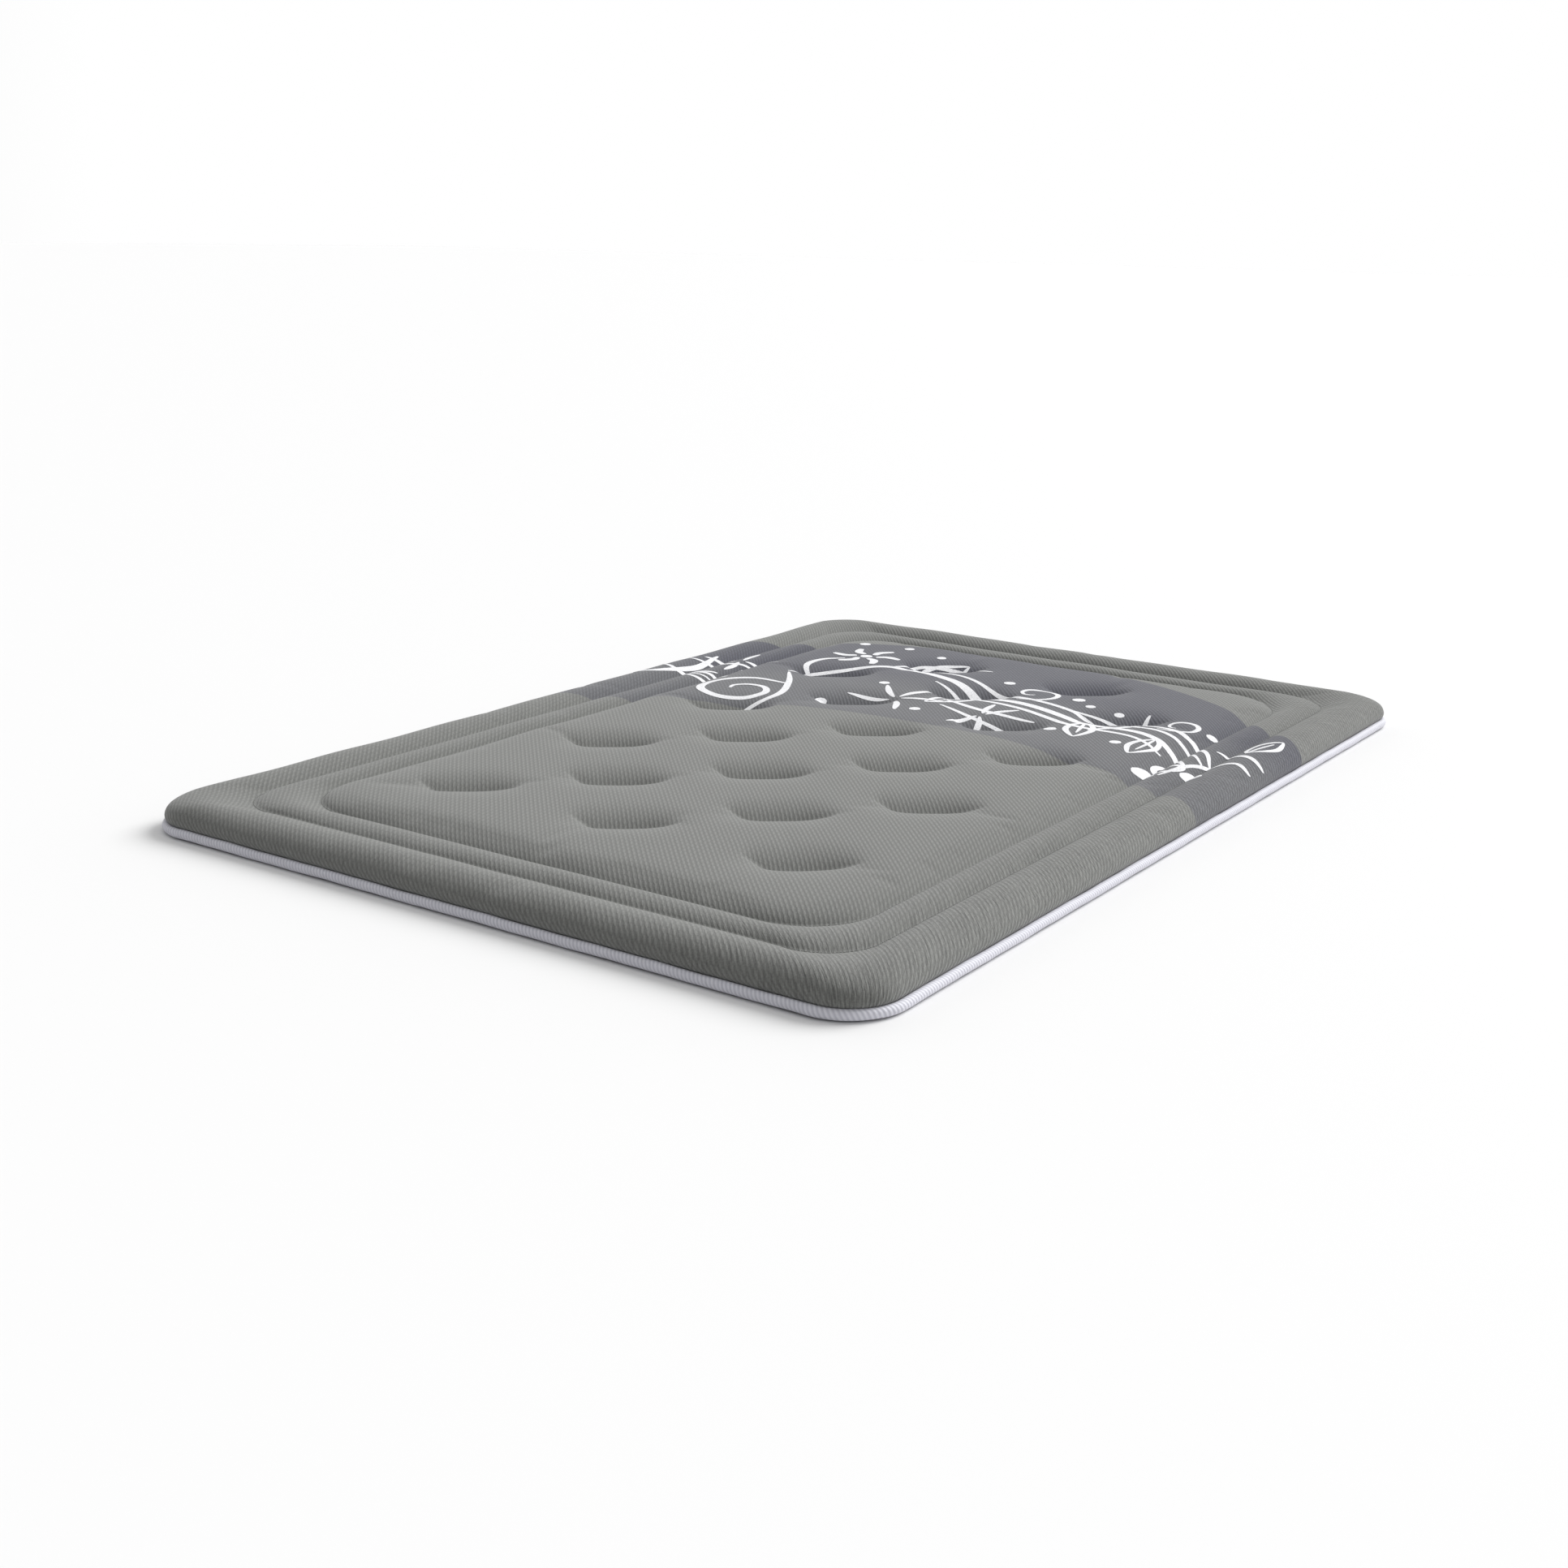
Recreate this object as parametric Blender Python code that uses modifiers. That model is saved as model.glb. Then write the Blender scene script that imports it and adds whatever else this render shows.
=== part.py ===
"""A thin quilted memory foam mattress with a piped edge and a zip across its head end.

The origin is under the middle of the mattress, on the surface it lies on. +X is its right side, +Y its
head end and +Z is up. All sizes are in metres. An inset is a distance inwards from the outermost edge of
the piping, the same on all four sides. The layers, from the bottom: bottom panel, foam core in its
sleeve, quilt backing, wadding, top cover with the quilting threads and tuft stitches in its valleys.
"""

import math

import bmesh
import bpy

# Overall size, over the piping.
WIDTH = 1.350
LENGTH = 2.000

# Piping round the bottom edge: a cord in a ribbed tape, whose two edges make a flange for the seam.
PIPING_RADIUS = 0.0075
PIPING_HEIGHT = 0.0085
PIPING_CORNER = 0.085
TAPE_THICKNESS = 0.0008
TAPE_SLIT = 0.0004
FLANGE_INSET = 0.0215
CORD_RADIUS = 0.0058

# Quilted top: (inset, height) of the rings from the bottom of its wall to the flat of the centre panel.
WALL_INSET = 0.0156
WALL_FOOT = 0.0102
WALL_TOP = 0.034
OUTER_SEAM_INSET, OUTER_SEAM_HEIGHT = 0.100, 0.0385
INNER_SEAM_INSET, INNER_SEAM_HEIGHT = 0.165, 0.0365
PANEL_HEIGHT = 0.0505
RINGS = (
    (WALL_INSET, WALL_FOOT),
    (WALL_INSET, WALL_TOP),
    (0.020, 0.044),
    (0.050, 0.052),
    (0.080, 0.046),
    (OUTER_SEAM_INSET, OUTER_SEAM_HEIGHT),
    (0.114, 0.0455),
    (0.132, 0.048),
    (0.150, 0.045),
    (INNER_SEAM_INSET, INNER_SEAM_HEIGHT),
    (0.185, 0.0455),
    (0.215, PANEL_HEIGHT),
    (0.250, PANEL_HEIGHT),
    (0.290, PANEL_HEIGHT),
)
# Rings whose inset is under this belong to the wall, which moves inwards for the wadding.
WALL_REACH = 0.030
# (inset, corner radius) between which the rings' corner radii run.
CORNER_RADII = ((WALL_INSET, 0.077), (OUTER_SEAM_INSET, 0.090), (INNER_SEAM_INSET, 0.120), (0.320, 0.0))

# Tufts: rows across the mattress, each shifted half a step from the last.
TUFT_ROWS = 8
TUFT_COLUMNS = 5
TUFT_STEP_X = 0.1625
TUFT_STEP_Y = 0.180
TUFT_HEIGHT = 0.0345
TUFT_BAR = (0.012, 0.004, 0.0016)
TUFT_BAR_ROUNDING = 0.0005
TUFT_LIFT = 0.0024
TUFT_TURN = 34

# Layers.
GAP = 0.0003
FABRIC = 0.0012
WADDING_DROP = 0.0019
WADDING_FLOOR = 0.0319
BACKING_INSET, BACKING_LOW, BACKING_HIGH = 0.0186, 0.0310, 0.0316
SLEEVE_INSET, SLEEVE_LOW, SLEEVE_HIGH = 0.0225, 0.0016, 0.0306
SLEEVE_THICKNESS = 0.0008
BOTTOM_RIM = 0.0069
BOTTOM_EDGE_RADIUS = 0.004

# Threads.
QUILT_THREAD_RADIUS = 0.0006
QUILT_THREAD_LIFT = 0.0019
SEAM_THREAD_RADIUS = 0.0004
SEAM_THREAD_INSET = 0.019
SEAM_THREAD_HEIGHT = 0.0102

# Zip in the head end wall: two tapes, the chain's two halves and a slider with a pull.
ZIP_HALF_LENGTH = 0.570
ZIP_HEIGHT = 0.0212
ZIP_SLOT_TOP = 0.0320
ZIP_SLOT_CUT = 0.004
ZIP_SLOT_BELOW = 0.002
ZIP_TAPE_THICKNESS = 0.0009
ZIP_TAPE_EDGE = 0.0015
CHAIN_HALF_LENGTH = 0.562
CHAIN_NEAR, CHAIN_FAR = 0.0006, 0.0030
CHAIN_THICKNESS = 0.0022
STOP_LENGTH = 0.005

# Slider: two plates that clasp the chain, the post between them, two lips and a bridge for the pull.
SLIDER_REST_X = 0.555
SLIDER_LENGTH = 0.010
SLIDER_HALF_WIDTH = 0.0042
SLIDER_PLATE = 0.0012
SLIDER_BACK_GAP = 0.0010
SLIDER_SINK = 0.0003
POST_HALF_LENGTH, POST_HALF_WIDTH = 0.0030, 0.0003
BRIDGE_HALF_LENGTH = 0.0040
BRIDGE_HALF_WIDTH = 0.0010
BRIDGE_LEG = 0.0010
BRIDGE_GAP, BRIDGE_TOP = 0.0020, 0.0030

# Pull: a flat tab whose end bar lies under the bridge, with an eye behind the bar.
PULL_LENGTH = 0.026
PULL_HALF_WIDTH = 0.0028
PULL_BAR_HALF = 0.0005
PULL_EYE_END, PULL_EYE_HALF_WIDTH, PULL_EYE_CUT = 0.0052, 0.0016, 0.002

# Blank care label on the left wall.
LABEL_Y = 0.700
LABEL_SIZE = (0.0003, 0.040, 0.028)

CORNER_STEPS = 8
TAPE_OUTSIDE_STEPS, TAPE_INSIDE_STEPS = 12, 10
MERGE_DISTANCE = 0.00001
WALL_Y = LENGTH / 2 - WALL_INSET


def linear(hex_colour):
    """The sRGB hex colour as linear RGBA."""
    parts = [int(hex_colour[i : i + 2], 16) / 255 for i in (0, 2, 4)]
    return [p / 12.92 if p <= 0.04045 else ((p + 0.055) / 1.055) ** 2.4 for p in parts] + [1.0]


def new_material(name, hex_colour, roughness, metallic=0.0):
    material = bpy.data.materials.new(name)
    material.use_nodes = True
    shader = material.node_tree.nodes["Principled BSDF"]
    shader.inputs["Base Color"].default_value = linear(hex_colour)
    shader.inputs["Roughness"].default_value = roughness
    shader.inputs["Metallic"].default_value = metallic
    return material


def add_object(name, data, material, collection):
    thing = bpy.data.objects.new(name, data)
    if material:
        data.materials.append(material)
    collection.objects.link(thing)
    return thing


def add_modifier(thing, kind, name, **settings):
    modifier = thing.modifiers.new(name, kind)
    for key, value in settings.items():
        setattr(modifier, key, value)
    return modifier


def mesh_from(build, name):
    """A mesh filled in by build(bm)."""
    bm = bmesh.new()
    build(bm)
    mesh = bpy.data.meshes.new(name)
    bm.to_mesh(mesh)
    bm.free()
    return mesh


def edge_corner(inset):
    """The corner radius that runs parallel with the piping at this inset."""
    return PIPING_CORNER + PIPING_RADIUS - inset


def rounded_rectangle(inset, corner):
    """Points round the mattress at this inset, anticlockwise, with CORNER_STEPS chords a corner."""
    half_x, half_y = WIDTH / 2 - inset, LENGTH / 2 - inset
    points = []
    for quarter, (side_x, side_y) in enumerate(((1, 1), (-1, 1), (-1, -1), (1, -1))):
        for step in range(CORNER_STEPS + 1):
            angle = math.radians(90 * (quarter + step / CORNER_STEPS))
            points.append(
                (
                    side_x * (half_x - corner) + corner * math.cos(angle),
                    side_y * (half_y - corner) + corner * math.sin(angle),
                )
            )
    return points


def closed_curve(name, points, dimensions):
    curve = bpy.data.curves.new(name, "CURVE")
    curve.dimensions = dimensions
    spline = curve.splines.new("POLY")
    spline.points.add(len(points) - 1)
    for point, (x, y) in zip(spline.points, points):
        point.co = (x, y, 0.0, 1.0)
    spline.use_cyclic_u = True
    return curve


def slab(name, inset, low, high, material):
    """A flat sheet or block with the mattress's outline, from height low to high."""
    curve = closed_curve(name, rounded_rectangle(inset, edge_corner(inset)), "2D")
    curve.fill_mode = "BOTH"
    curve.extrude = (high - low) / 2
    thing = add_object(name, curve, material, parts)
    thing.location.z = (low + high) / 2
    return thing


def loop_tube(name, inset, corner, height, radius, material):
    """A thread or cord of this radius, closed on itself, round the mattress at this inset."""
    curve = closed_curve(name, rounded_rectangle(inset, corner), "3D")
    curve.bevel_depth = radius
    curve.bevel_resolution = 2
    thing = add_object(name, curve, material, parts)
    thing.location.z = height
    return thing


def tray_mesh(name, inset, low, high):
    """The mattress's outline as a face at height low, with a wall round it up to height high."""

    def build(bm):
        outline = rounded_rectangle(inset, edge_corner(inset))
        floor = bm.faces.new([bm.verts.new((x, y, low)) for x, y in outline])
        raised = bmesh.ops.extrude_edge_only(bm, edges=floor.edges[:])["geom"]
        rim = [item for item in raised if isinstance(item, bmesh.types.BMVert)]
        bmesh.ops.translate(bm, verts=rim, vec=(0, 0, high - low))
        bmesh.ops.recalc_face_normals(bm, faces=bm.faces[:])

    return mesh_from(build, name)


def corner_radius(inset):
    for (inset_a, radius_a), (inset_b, radius_b) in zip(CORNER_RADII, CORNER_RADII[1:]):
        if inset <= inset_b:
            share = (inset - inset_a) / (inset_b - inset_a)
            return radius_a + max(share, 0.0) * (radius_b - radius_a)
    return 0.0


def tuft_points():
    """(x, y) of every tuft, row by row from the foot end."""
    for row in range(TUFT_ROWS):
        for column in range(TUFT_COLUMNS):
            if (row + column) % 2 == 0:
                yield (
                    (column - (TUFT_COLUMNS - 1) / 2) * TUFT_STEP_X,
                    (row - (TUFT_ROWS - 1) / 2) * TUFT_STEP_Y,
                )


def quilt_mesh(name, drop, wall_shift, wall_foot, closed):
    """The quilted top as a grid whose lines are the rings' four sides and, inside them, the tuft rows.

    A grid point's ring is the smaller of its two insets. Its distance from the ring's corner is the
    difference between them, and inside the corner radius that distance becomes an angle on the arc.
    drop lowers the surface and wall_shift moves its wall inwards. closed adds a flat underside.
    """
    insets = [inset + (wall_shift if inset < WALL_REACH else 0.0) for inset, _ in RINGS]
    heights = [height - drop for _, height in RINGS]
    heights[0] = wall_foot

    def lines(half, count, step):
        offsets = [(k - (count - 1) / 2) * step for k in range(count)]
        low_side = [(inset, -1) for inset in insets]
        inner = [(half - abs(offset), math.copysign(1, offset)) for offset in offsets]
        high_side = [(inset, 1) for inset in reversed(insets)]
        return low_side + inner + high_side

    columns = lines(WIDTH / 2, TUFT_COLUMNS, TUFT_STEP_X)
    rows = lines(LENGTH / 2, TUFT_ROWS, TUFT_STEP_Y)

    def place(i, j):
        (inset_x, side_x), (inset_y, side_y) = columns[i], rows[j]
        ring_x, ring_y = min(i, len(columns) - 1 - i), min(j, len(rows) - 1 - j)
        ring = min(ring_x, ring_y)
        x, y = WIDTH / 2 - inset_x, LENGTH / 2 - inset_y
        if ring >= len(insets):
            is_tuft = (i + j) % 2 == 0
            return side_x * x, side_y * y, (TUFT_HEIGHT if is_tuft else PANEL_HEIGHT) - drop
        inset = insets[ring]
        radius = corner_radius(inset)
        past_corner = (inset_x if ring_y <= ring_x else inset_y) - inset
        if past_corner < radius:
            turn = 45 * past_corner / radius
            angle = math.radians(45 + turn if ring_y <= ring_x else 45 - turn)
            x = WIDTH / 2 - inset - radius + radius * math.cos(angle)
            y = LENGTH / 2 - inset - radius + radius * math.sin(angle)
        return side_x * x, side_y * y, heights[ring]

    def build(bm):
        wide, long = len(columns) - 1, len(rows) - 1
        bmesh.ops.create_grid(bm, x_segments=wide, y_segments=long, size=0.5)
        for vert in bm.verts:
            vert.co = place(round((vert.co.x + 0.5) * wide), round((vert.co.y + 0.5) * long))
        bmesh.ops.remove_doubles(bm, verts=bm.verts[:], dist=MERGE_DISTANCE)
        if closed:
            bmesh.ops.contextual_create(bm, geom=[e for e in bm.edges if e.is_boundary])
            bmesh.ops.recalc_face_normals(bm, faces=bm.faces[:])

    return mesh_from(build, name)


def box_mesh(name, low, high):
    """A box between two corners."""

    def build(bm):
        bmesh.ops.create_cube(bm, size=1.0)
        for vert in bm.verts:
            vert.co = [a + (c + 0.5) * (b - a) for a, b, c in zip(low, high, vert.co)]

    return mesh_from(build, name)


def box(name, low, high, material):
    return add_object(name, box_mesh(name, low, high), material, parts)


def helper_box(name, low, high, at=(0.0, 0.0, 0.0)):
    """A box that only cuts or joins another piece."""
    thing = add_object(name, box_mesh(name, low, high), None, helpers)
    thing.location = at
    thing.hide_render = True
    thing.display_type = "WIRE"
    return thing


def add_boolean(thing, helper, operation):
    add_modifier(thing, "BOOLEAN", helper.name, object=helper, operation=operation, solver="EXACT")


def make_covers():
    """The top cover with the zip's opening, and the bottom panel as a shallow tray."""
    knit = new_material("stretch_knit_grey", "8D8E8A", 0.85)
    top = add_object("top_cover", quilt_mesh("top_cover", 0.0, 0.0, WALL_FOOT, False), knit, parts)
    add_modifier(top, "SOLIDIFY", "fabric", thickness=FABRIC, offset=-1.0, use_even_offset=True)
    slot_x = ZIP_HALF_LENGTH + GAP
    opening = helper_box(
        "zip_opening",
        (-slot_x, WALL_Y - ZIP_SLOT_CUT, WALL_FOOT - ZIP_SLOT_BELOW),
        (slot_x, WALL_Y + ZIP_SLOT_CUT, ZIP_SLOT_TOP),
    )
    add_boolean(top, opening, "DIFFERENCE")

    base = new_material("base_knit", "B9BABC", 0.9)
    bottom = add_object("bottom_panel", tray_mesh("bottom_panel", WALL_INSET, 0.0, BOTTOM_RIM), base, parts)
    add_modifier(
        bottom,
        "BEVEL",
        "turned_edge",
        width=BOTTOM_EDGE_RADIUS,
        segments=2,
        limit_method="ANGLE",
        angle_limit=math.radians(60),
    )
    add_modifier(bottom, "SOLIDIFY", "fabric", thickness=FABRIC, offset=-1.0, use_even_offset=True)


def make_quilt_filling():
    """The fibre wadding under the top cover and the thin backing it is quilted to."""
    fibre = new_material("polyester_fibre", "F2F2EE", 0.95)
    mesh = quilt_mesh("quilt_wadding", WADDING_DROP, WADDING_DROP, WADDING_FLOOR, True)
    add_object("quilt_wadding", mesh, fibre, parts)
    scrim = new_material("non_woven_backing", "E6E6E4", 0.9)
    slab("quilt_backing", BACKING_INSET, BACKING_LOW, BACKING_HIGH, scrim)


def make_threads():
    """The two quilting seams, the seam that closes the edge, and a bar of stitches at each tuft."""
    thread = new_material("quilting_thread", "9A9B98", 0.6)
    for name, inset, height in (
        ("outer_quilt_thread", OUTER_SEAM_INSET, OUTER_SEAM_HEIGHT),
        ("inner_quilt_thread", INNER_SEAM_INSET, INNER_SEAM_HEIGHT),
    ):
        loop_tube(name, inset, corner_radius(inset), height + QUILT_THREAD_LIFT, QUILT_THREAD_RADIUS, thread)
    corner = edge_corner(SEAM_THREAD_INSET)
    loop_tube("edge_seam_thread", SEAM_THREAD_INSET, corner, SEAM_THREAD_HEIGHT, SEAM_THREAD_RADIUS, thread)

    half = [size / 2 for size in TUFT_BAR]
    bar = box_mesh("tuft_stitch", [-h for h in half], half)
    bar.materials.append(thread)
    for number, (x, y) in enumerate(tuft_points(), 1):
        stitch = add_object(f"tuft_stitch_{number:02d}", bar, None, parts)
        stitch.location = (x, y, TUFT_HEIGHT + TUFT_LIFT + half[2])
        stitch.rotation_euler.z = math.radians(TUFT_TURN)
        add_modifier(stitch, "BEVEL", "rounded", width=TUFT_BAR_ROUNDING, segments=1)


def close_sleeve(mesh):
    """Covers the top of the sleeve's tray and takes out the wall at its head end, corners included."""
    bm = bmesh.new()
    bm.from_mesh(mesh)
    bmesh.ops.contextual_create(bm, geom=[edge for edge in bm.edges if edge.is_boundary])
    head_y = LENGTH / 2 - SLEEVE_INSET - edge_corner(SLEEVE_INSET)
    head_wall = [face for face in bm.faces if face.calc_center_median().y > head_y]
    bmesh.ops.delete(bm, geom=head_wall, context="FACES")
    bmesh.ops.recalc_face_normals(bm, faces=bm.faces[:])
    bm.to_mesh(mesh)
    bm.free()


def make_core():
    """The slab of memory foam in a knitted sleeve, whose head end is open."""
    sleeve_knit = new_material("sleeve_knit", "F4F4F2", 0.9)
    mesh = tray_mesh("foam_sleeve", SLEEVE_INSET, SLEEVE_LOW, SLEEVE_HIGH)
    close_sleeve(mesh)
    sleeve = add_object("foam_sleeve", mesh, sleeve_knit, parts)
    add_modifier(sleeve, "SOLIDIFY", "fabric", thickness=SLEEVE_THICKNESS, offset=-1.0)

    foam = new_material("memory_foam", "EFE9D8", 0.95)
    around = SLEEVE_THICKNESS + GAP
    slab("memory_foam_core", SLEEVE_INSET + around, SLEEVE_LOW + around, SLEEVE_HIGH - around, foam)


def tape_profile():
    """The tape's cut end: round the cord from one leaf of the flange to the other, and back inside."""
    flange_end = -(FLANGE_INSET - PIPING_RADIUS)
    outer_half, inner_half = TAPE_SLIT / 2 + TAPE_THICKNESS, TAPE_SLIT / 2
    inner_radius = PIPING_RADIUS - TAPE_THICKNESS

    def arc(radius, half, steps):
        start = math.pi - math.asin(half / radius)
        angles = [start - 2 * start * k / steps for k in range(steps + 1)]
        return [(radius * math.cos(angle), radius * math.sin(angle)) for angle in angles]

    outside = arc(PIPING_RADIUS, outer_half, TAPE_OUTSIDE_STEPS)
    inside = arc(inner_radius, inner_half, TAPE_INSIDE_STEPS)
    return (
        [(flange_end, outer_half)]
        + outside
        + [(flange_end, -outer_half), (flange_end, -inner_half)]
        + inside[::-1]
        + [(flange_end, inner_half)]
    )


def make_piping():
    """The white piping: the filler cord and the ribbed tape folded round it."""
    filler = new_material("piping_filler", "F0F0F0", 0.9)
    loop_tube("piping_cord", PIPING_RADIUS, PIPING_CORNER, PIPING_HEIGHT, CORD_RADIUS, filler)

    white = new_material("ribbed_tape_white", "E4E4EA", 0.7)
    profile = add_object("tape_profile", closed_curve("tape_profile", tape_profile(), "2D"), None, helpers)
    profile.hide_render = True
    profile.display_type = "WIRE"
    profile.data.fill_mode = "NONE"
    tape = closed_curve("piping_tape", rounded_rectangle(PIPING_RADIUS, PIPING_CORNER), "3D")
    tape.twist_mode = "Z_UP"
    tape.bevel_mode = "OBJECT"
    tape.bevel_object = profile
    add_object("piping_tape", tape, white, parts).location.z = PIPING_HEIGHT


def make_zip():
    """The zip's tapes, chain and stops, which stay with the cover."""
    tape_fabric = new_material("zip_tape", "77787A", 0.85)
    coil = new_material("nylon_coil", "6A6B6E", 0.45)
    metal = new_material("zip_stop_metal", "9FA1A4", 0.35, 1.0)
    tape_y = (WALL_Y - ZIP_TAPE_THICKNESS, WALL_Y)
    chain_y = (WALL_Y + GAP, WALL_Y + GAP + CHAIN_THICKNESS)
    for name, side, far_z in (("upper", 1, ZIP_SLOT_TOP - GAP), ("lower", -1, WALL_FOOT + GAP)):
        edge_z = ZIP_HEIGHT + side * ZIP_TAPE_EDGE
        low_z, high_z = sorted((edge_z, far_z))
        box(
            f"zip_tape_{name}",
            (-ZIP_HALF_LENGTH, tape_y[0], low_z),
            (ZIP_HALF_LENGTH, tape_y[1], high_z),
            tape_fabric,
        )
        low_z, high_z = sorted((ZIP_HEIGHT + side * CHAIN_NEAR, ZIP_HEIGHT + side * CHAIN_FAR))
        box(
            f"zip_chain_{name}",
            (-CHAIN_HALF_LENGTH, chain_y[0], low_z),
            (CHAIN_HALF_LENGTH, chain_y[1], high_z),
            coil,
        )
    for name, side in (("closed", 1), ("open", -1)):
        near, far = CHAIN_HALF_LENGTH + GAP, CHAIN_HALF_LENGTH + GAP + STOP_LENGTH
        low_x, high_x = sorted((side * near, side * far))
        box(
            f"zip_stop_{name}_end",
            (low_x, chain_y[0], ZIP_HEIGHT - CHAIN_FAR),
            (high_x, chain_y[1] + GAP, ZIP_HEIGHT + CHAIN_FAR),
            metal,
        )


def make_slider():
    """The slider at its closed end, and its pull, hinged under the slider's bridge and lying flat.

    The slider's two plates clasp the chain and are joined by a post that runs between its halves. The
    pull's end bar lies across the slider under the bridge, so the pull turns about the vertical.
    """
    metal = new_material("zip_slider_metal", "8E9093", 0.35, 1.0)
    long, wide = SLIDER_LENGTH / 2, SLIDER_HALF_WIDTH
    front_low = GAP + CHAIN_THICKNESS + GAP
    front_high = front_low + SLIDER_PLATE
    back_high = -ZIP_TAPE_THICKNESS - SLIDER_BACK_GAP
    back_low = back_high - SLIDER_PLATE
    at = (SLIDER_REST_X, WALL_Y, ZIP_HEIGHT)
    plate = box_mesh("zip_slider", (-long, front_low, -wide), (long, front_high, wide))
    slider = add_object("zip_slider", plate, metal, parts)
    slider.location = at

    sunk = front_high - SLIDER_SINK
    lip = CHAIN_FAR + GAP
    leg = BRIDGE_HALF_LENGTH - BRIDGE_LEG
    top = front_high + BRIDGE_TOP
    pieces = {
        "slider_back": ((-long, back_low, -wide), (long, back_high, wide)),
        "slider_post": (
            (-POST_HALF_LENGTH, back_low + SLIDER_SINK, -POST_HALF_WIDTH),
            (POST_HALF_LENGTH, sunk, POST_HALF_WIDTH),
        ),
        "slider_lip_low": ((-long, GAP, -wide), (long, sunk, -lip)),
        "slider_lip_high": ((-long, GAP, lip), (long, sunk, wide)),
        "bridge_left": (
            (-BRIDGE_HALF_LENGTH, front_low, -BRIDGE_HALF_WIDTH),
            (-leg, top, BRIDGE_HALF_WIDTH),
        ),
        "bridge_right": (
            (leg, front_low, -BRIDGE_HALF_WIDTH),
            (BRIDGE_HALF_LENGTH, top, BRIDGE_HALF_WIDTH),
        ),
        "bridge_bar": (
            (-BRIDGE_HALF_LENGTH, front_high + BRIDGE_GAP, -BRIDGE_HALF_WIDTH),
            (BRIDGE_HALF_LENGTH, top, BRIDGE_HALF_WIDTH),
        ),
    }
    for name, (low, high) in pieces.items():
        add_boolean(slider, helper_box(name, low, high, at), "UNION")

    tab = box_mesh(
        "zip_pull",
        (-PULL_LENGTH, -PULL_BAR_HALF, -PULL_HALF_WIDTH),
        (PULL_BAR_HALF, PULL_BAR_HALF, PULL_HALF_WIDTH),
    )
    pull = add_object("zip_pull", tab, metal, parts)
    pull.location = (SLIDER_REST_X, WALL_Y + front_high + BRIDGE_GAP / 2, ZIP_HEIGHT)
    eye = helper_box(
        "pull_eye",
        (-PULL_EYE_END, -PULL_EYE_CUT, -PULL_EYE_HALF_WIDTH),
        (-PULL_BAR_HALF, PULL_EYE_CUT, PULL_EYE_HALF_WIDTH),
        pull.location,
    )
    add_boolean(pull, eye, "DIFFERENCE")


def make_label():
    """A blank satin label sewn into the left edge seam, standing against the wall."""
    satin = new_material("label_satin", "F5F5F3", 0.5)
    thickness, width, height = LABEL_SIZE
    outer_x = -(WIDTH / 2 - WALL_INSET) - GAP
    low_z = PIPING_HEIGHT + PIPING_RADIUS + GAP
    box(
        "care_label",
        (outer_x - thickness, LABEL_Y - width / 2, low_z),
        (outer_x, LABEL_Y + width / 2, low_z + height),
        satin,
    )


for old in list(bpy.data.objects):
    bpy.data.objects.remove(old, do_unlink=True)
parts = bpy.data.collections.new("memory_foam_mattress")
helpers = bpy.data.collections.new("cutters_and_guides")
bpy.context.scene.collection.children.link(parts)
bpy.context.scene.collection.children.link(helpers)

make_covers()
make_quilt_filling()
make_threads()
make_core()
make_piping()
make_zip()
make_slider()
make_label()
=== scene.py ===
import math

import bmesh
import bpy
import numpy as np
from mathutils import Matrix, Vector


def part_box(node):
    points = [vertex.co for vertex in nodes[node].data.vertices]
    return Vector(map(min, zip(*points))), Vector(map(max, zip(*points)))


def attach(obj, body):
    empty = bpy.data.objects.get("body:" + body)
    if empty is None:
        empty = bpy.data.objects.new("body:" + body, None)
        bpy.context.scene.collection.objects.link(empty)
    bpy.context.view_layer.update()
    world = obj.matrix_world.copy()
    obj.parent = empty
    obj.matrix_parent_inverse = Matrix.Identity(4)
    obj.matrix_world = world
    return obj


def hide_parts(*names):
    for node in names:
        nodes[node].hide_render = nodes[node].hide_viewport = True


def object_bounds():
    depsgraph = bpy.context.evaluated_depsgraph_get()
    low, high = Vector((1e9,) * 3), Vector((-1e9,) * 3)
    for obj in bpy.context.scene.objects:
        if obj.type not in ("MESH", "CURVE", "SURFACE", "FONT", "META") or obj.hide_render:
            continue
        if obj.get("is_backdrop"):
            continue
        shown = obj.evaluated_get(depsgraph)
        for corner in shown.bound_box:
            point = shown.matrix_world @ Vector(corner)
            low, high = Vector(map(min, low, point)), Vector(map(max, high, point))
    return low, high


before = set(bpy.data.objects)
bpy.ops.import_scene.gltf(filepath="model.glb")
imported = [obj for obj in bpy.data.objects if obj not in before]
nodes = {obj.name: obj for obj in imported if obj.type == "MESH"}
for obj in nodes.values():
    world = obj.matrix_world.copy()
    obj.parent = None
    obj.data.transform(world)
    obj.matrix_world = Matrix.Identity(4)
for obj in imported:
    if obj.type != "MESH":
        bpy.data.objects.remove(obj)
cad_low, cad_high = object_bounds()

# ---- Memory foam core ----
# A slab of open-cell viscoelastic polyurethane foam, cast in a block and sliced. The cut cells leave a
# fine pitted face.


def linear(hex_colour):
    """An sRGB hex colour as linear RGBA."""
    parts = [int(hex_colour[i : i + 2], 16) / 255 for i in (0, 2, 4)]
    return [p / 12.92 if p <= 0.04045 else ((p + 0.055) / 1.055) ** 2.4 for p in parts] + [1.0]


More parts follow.
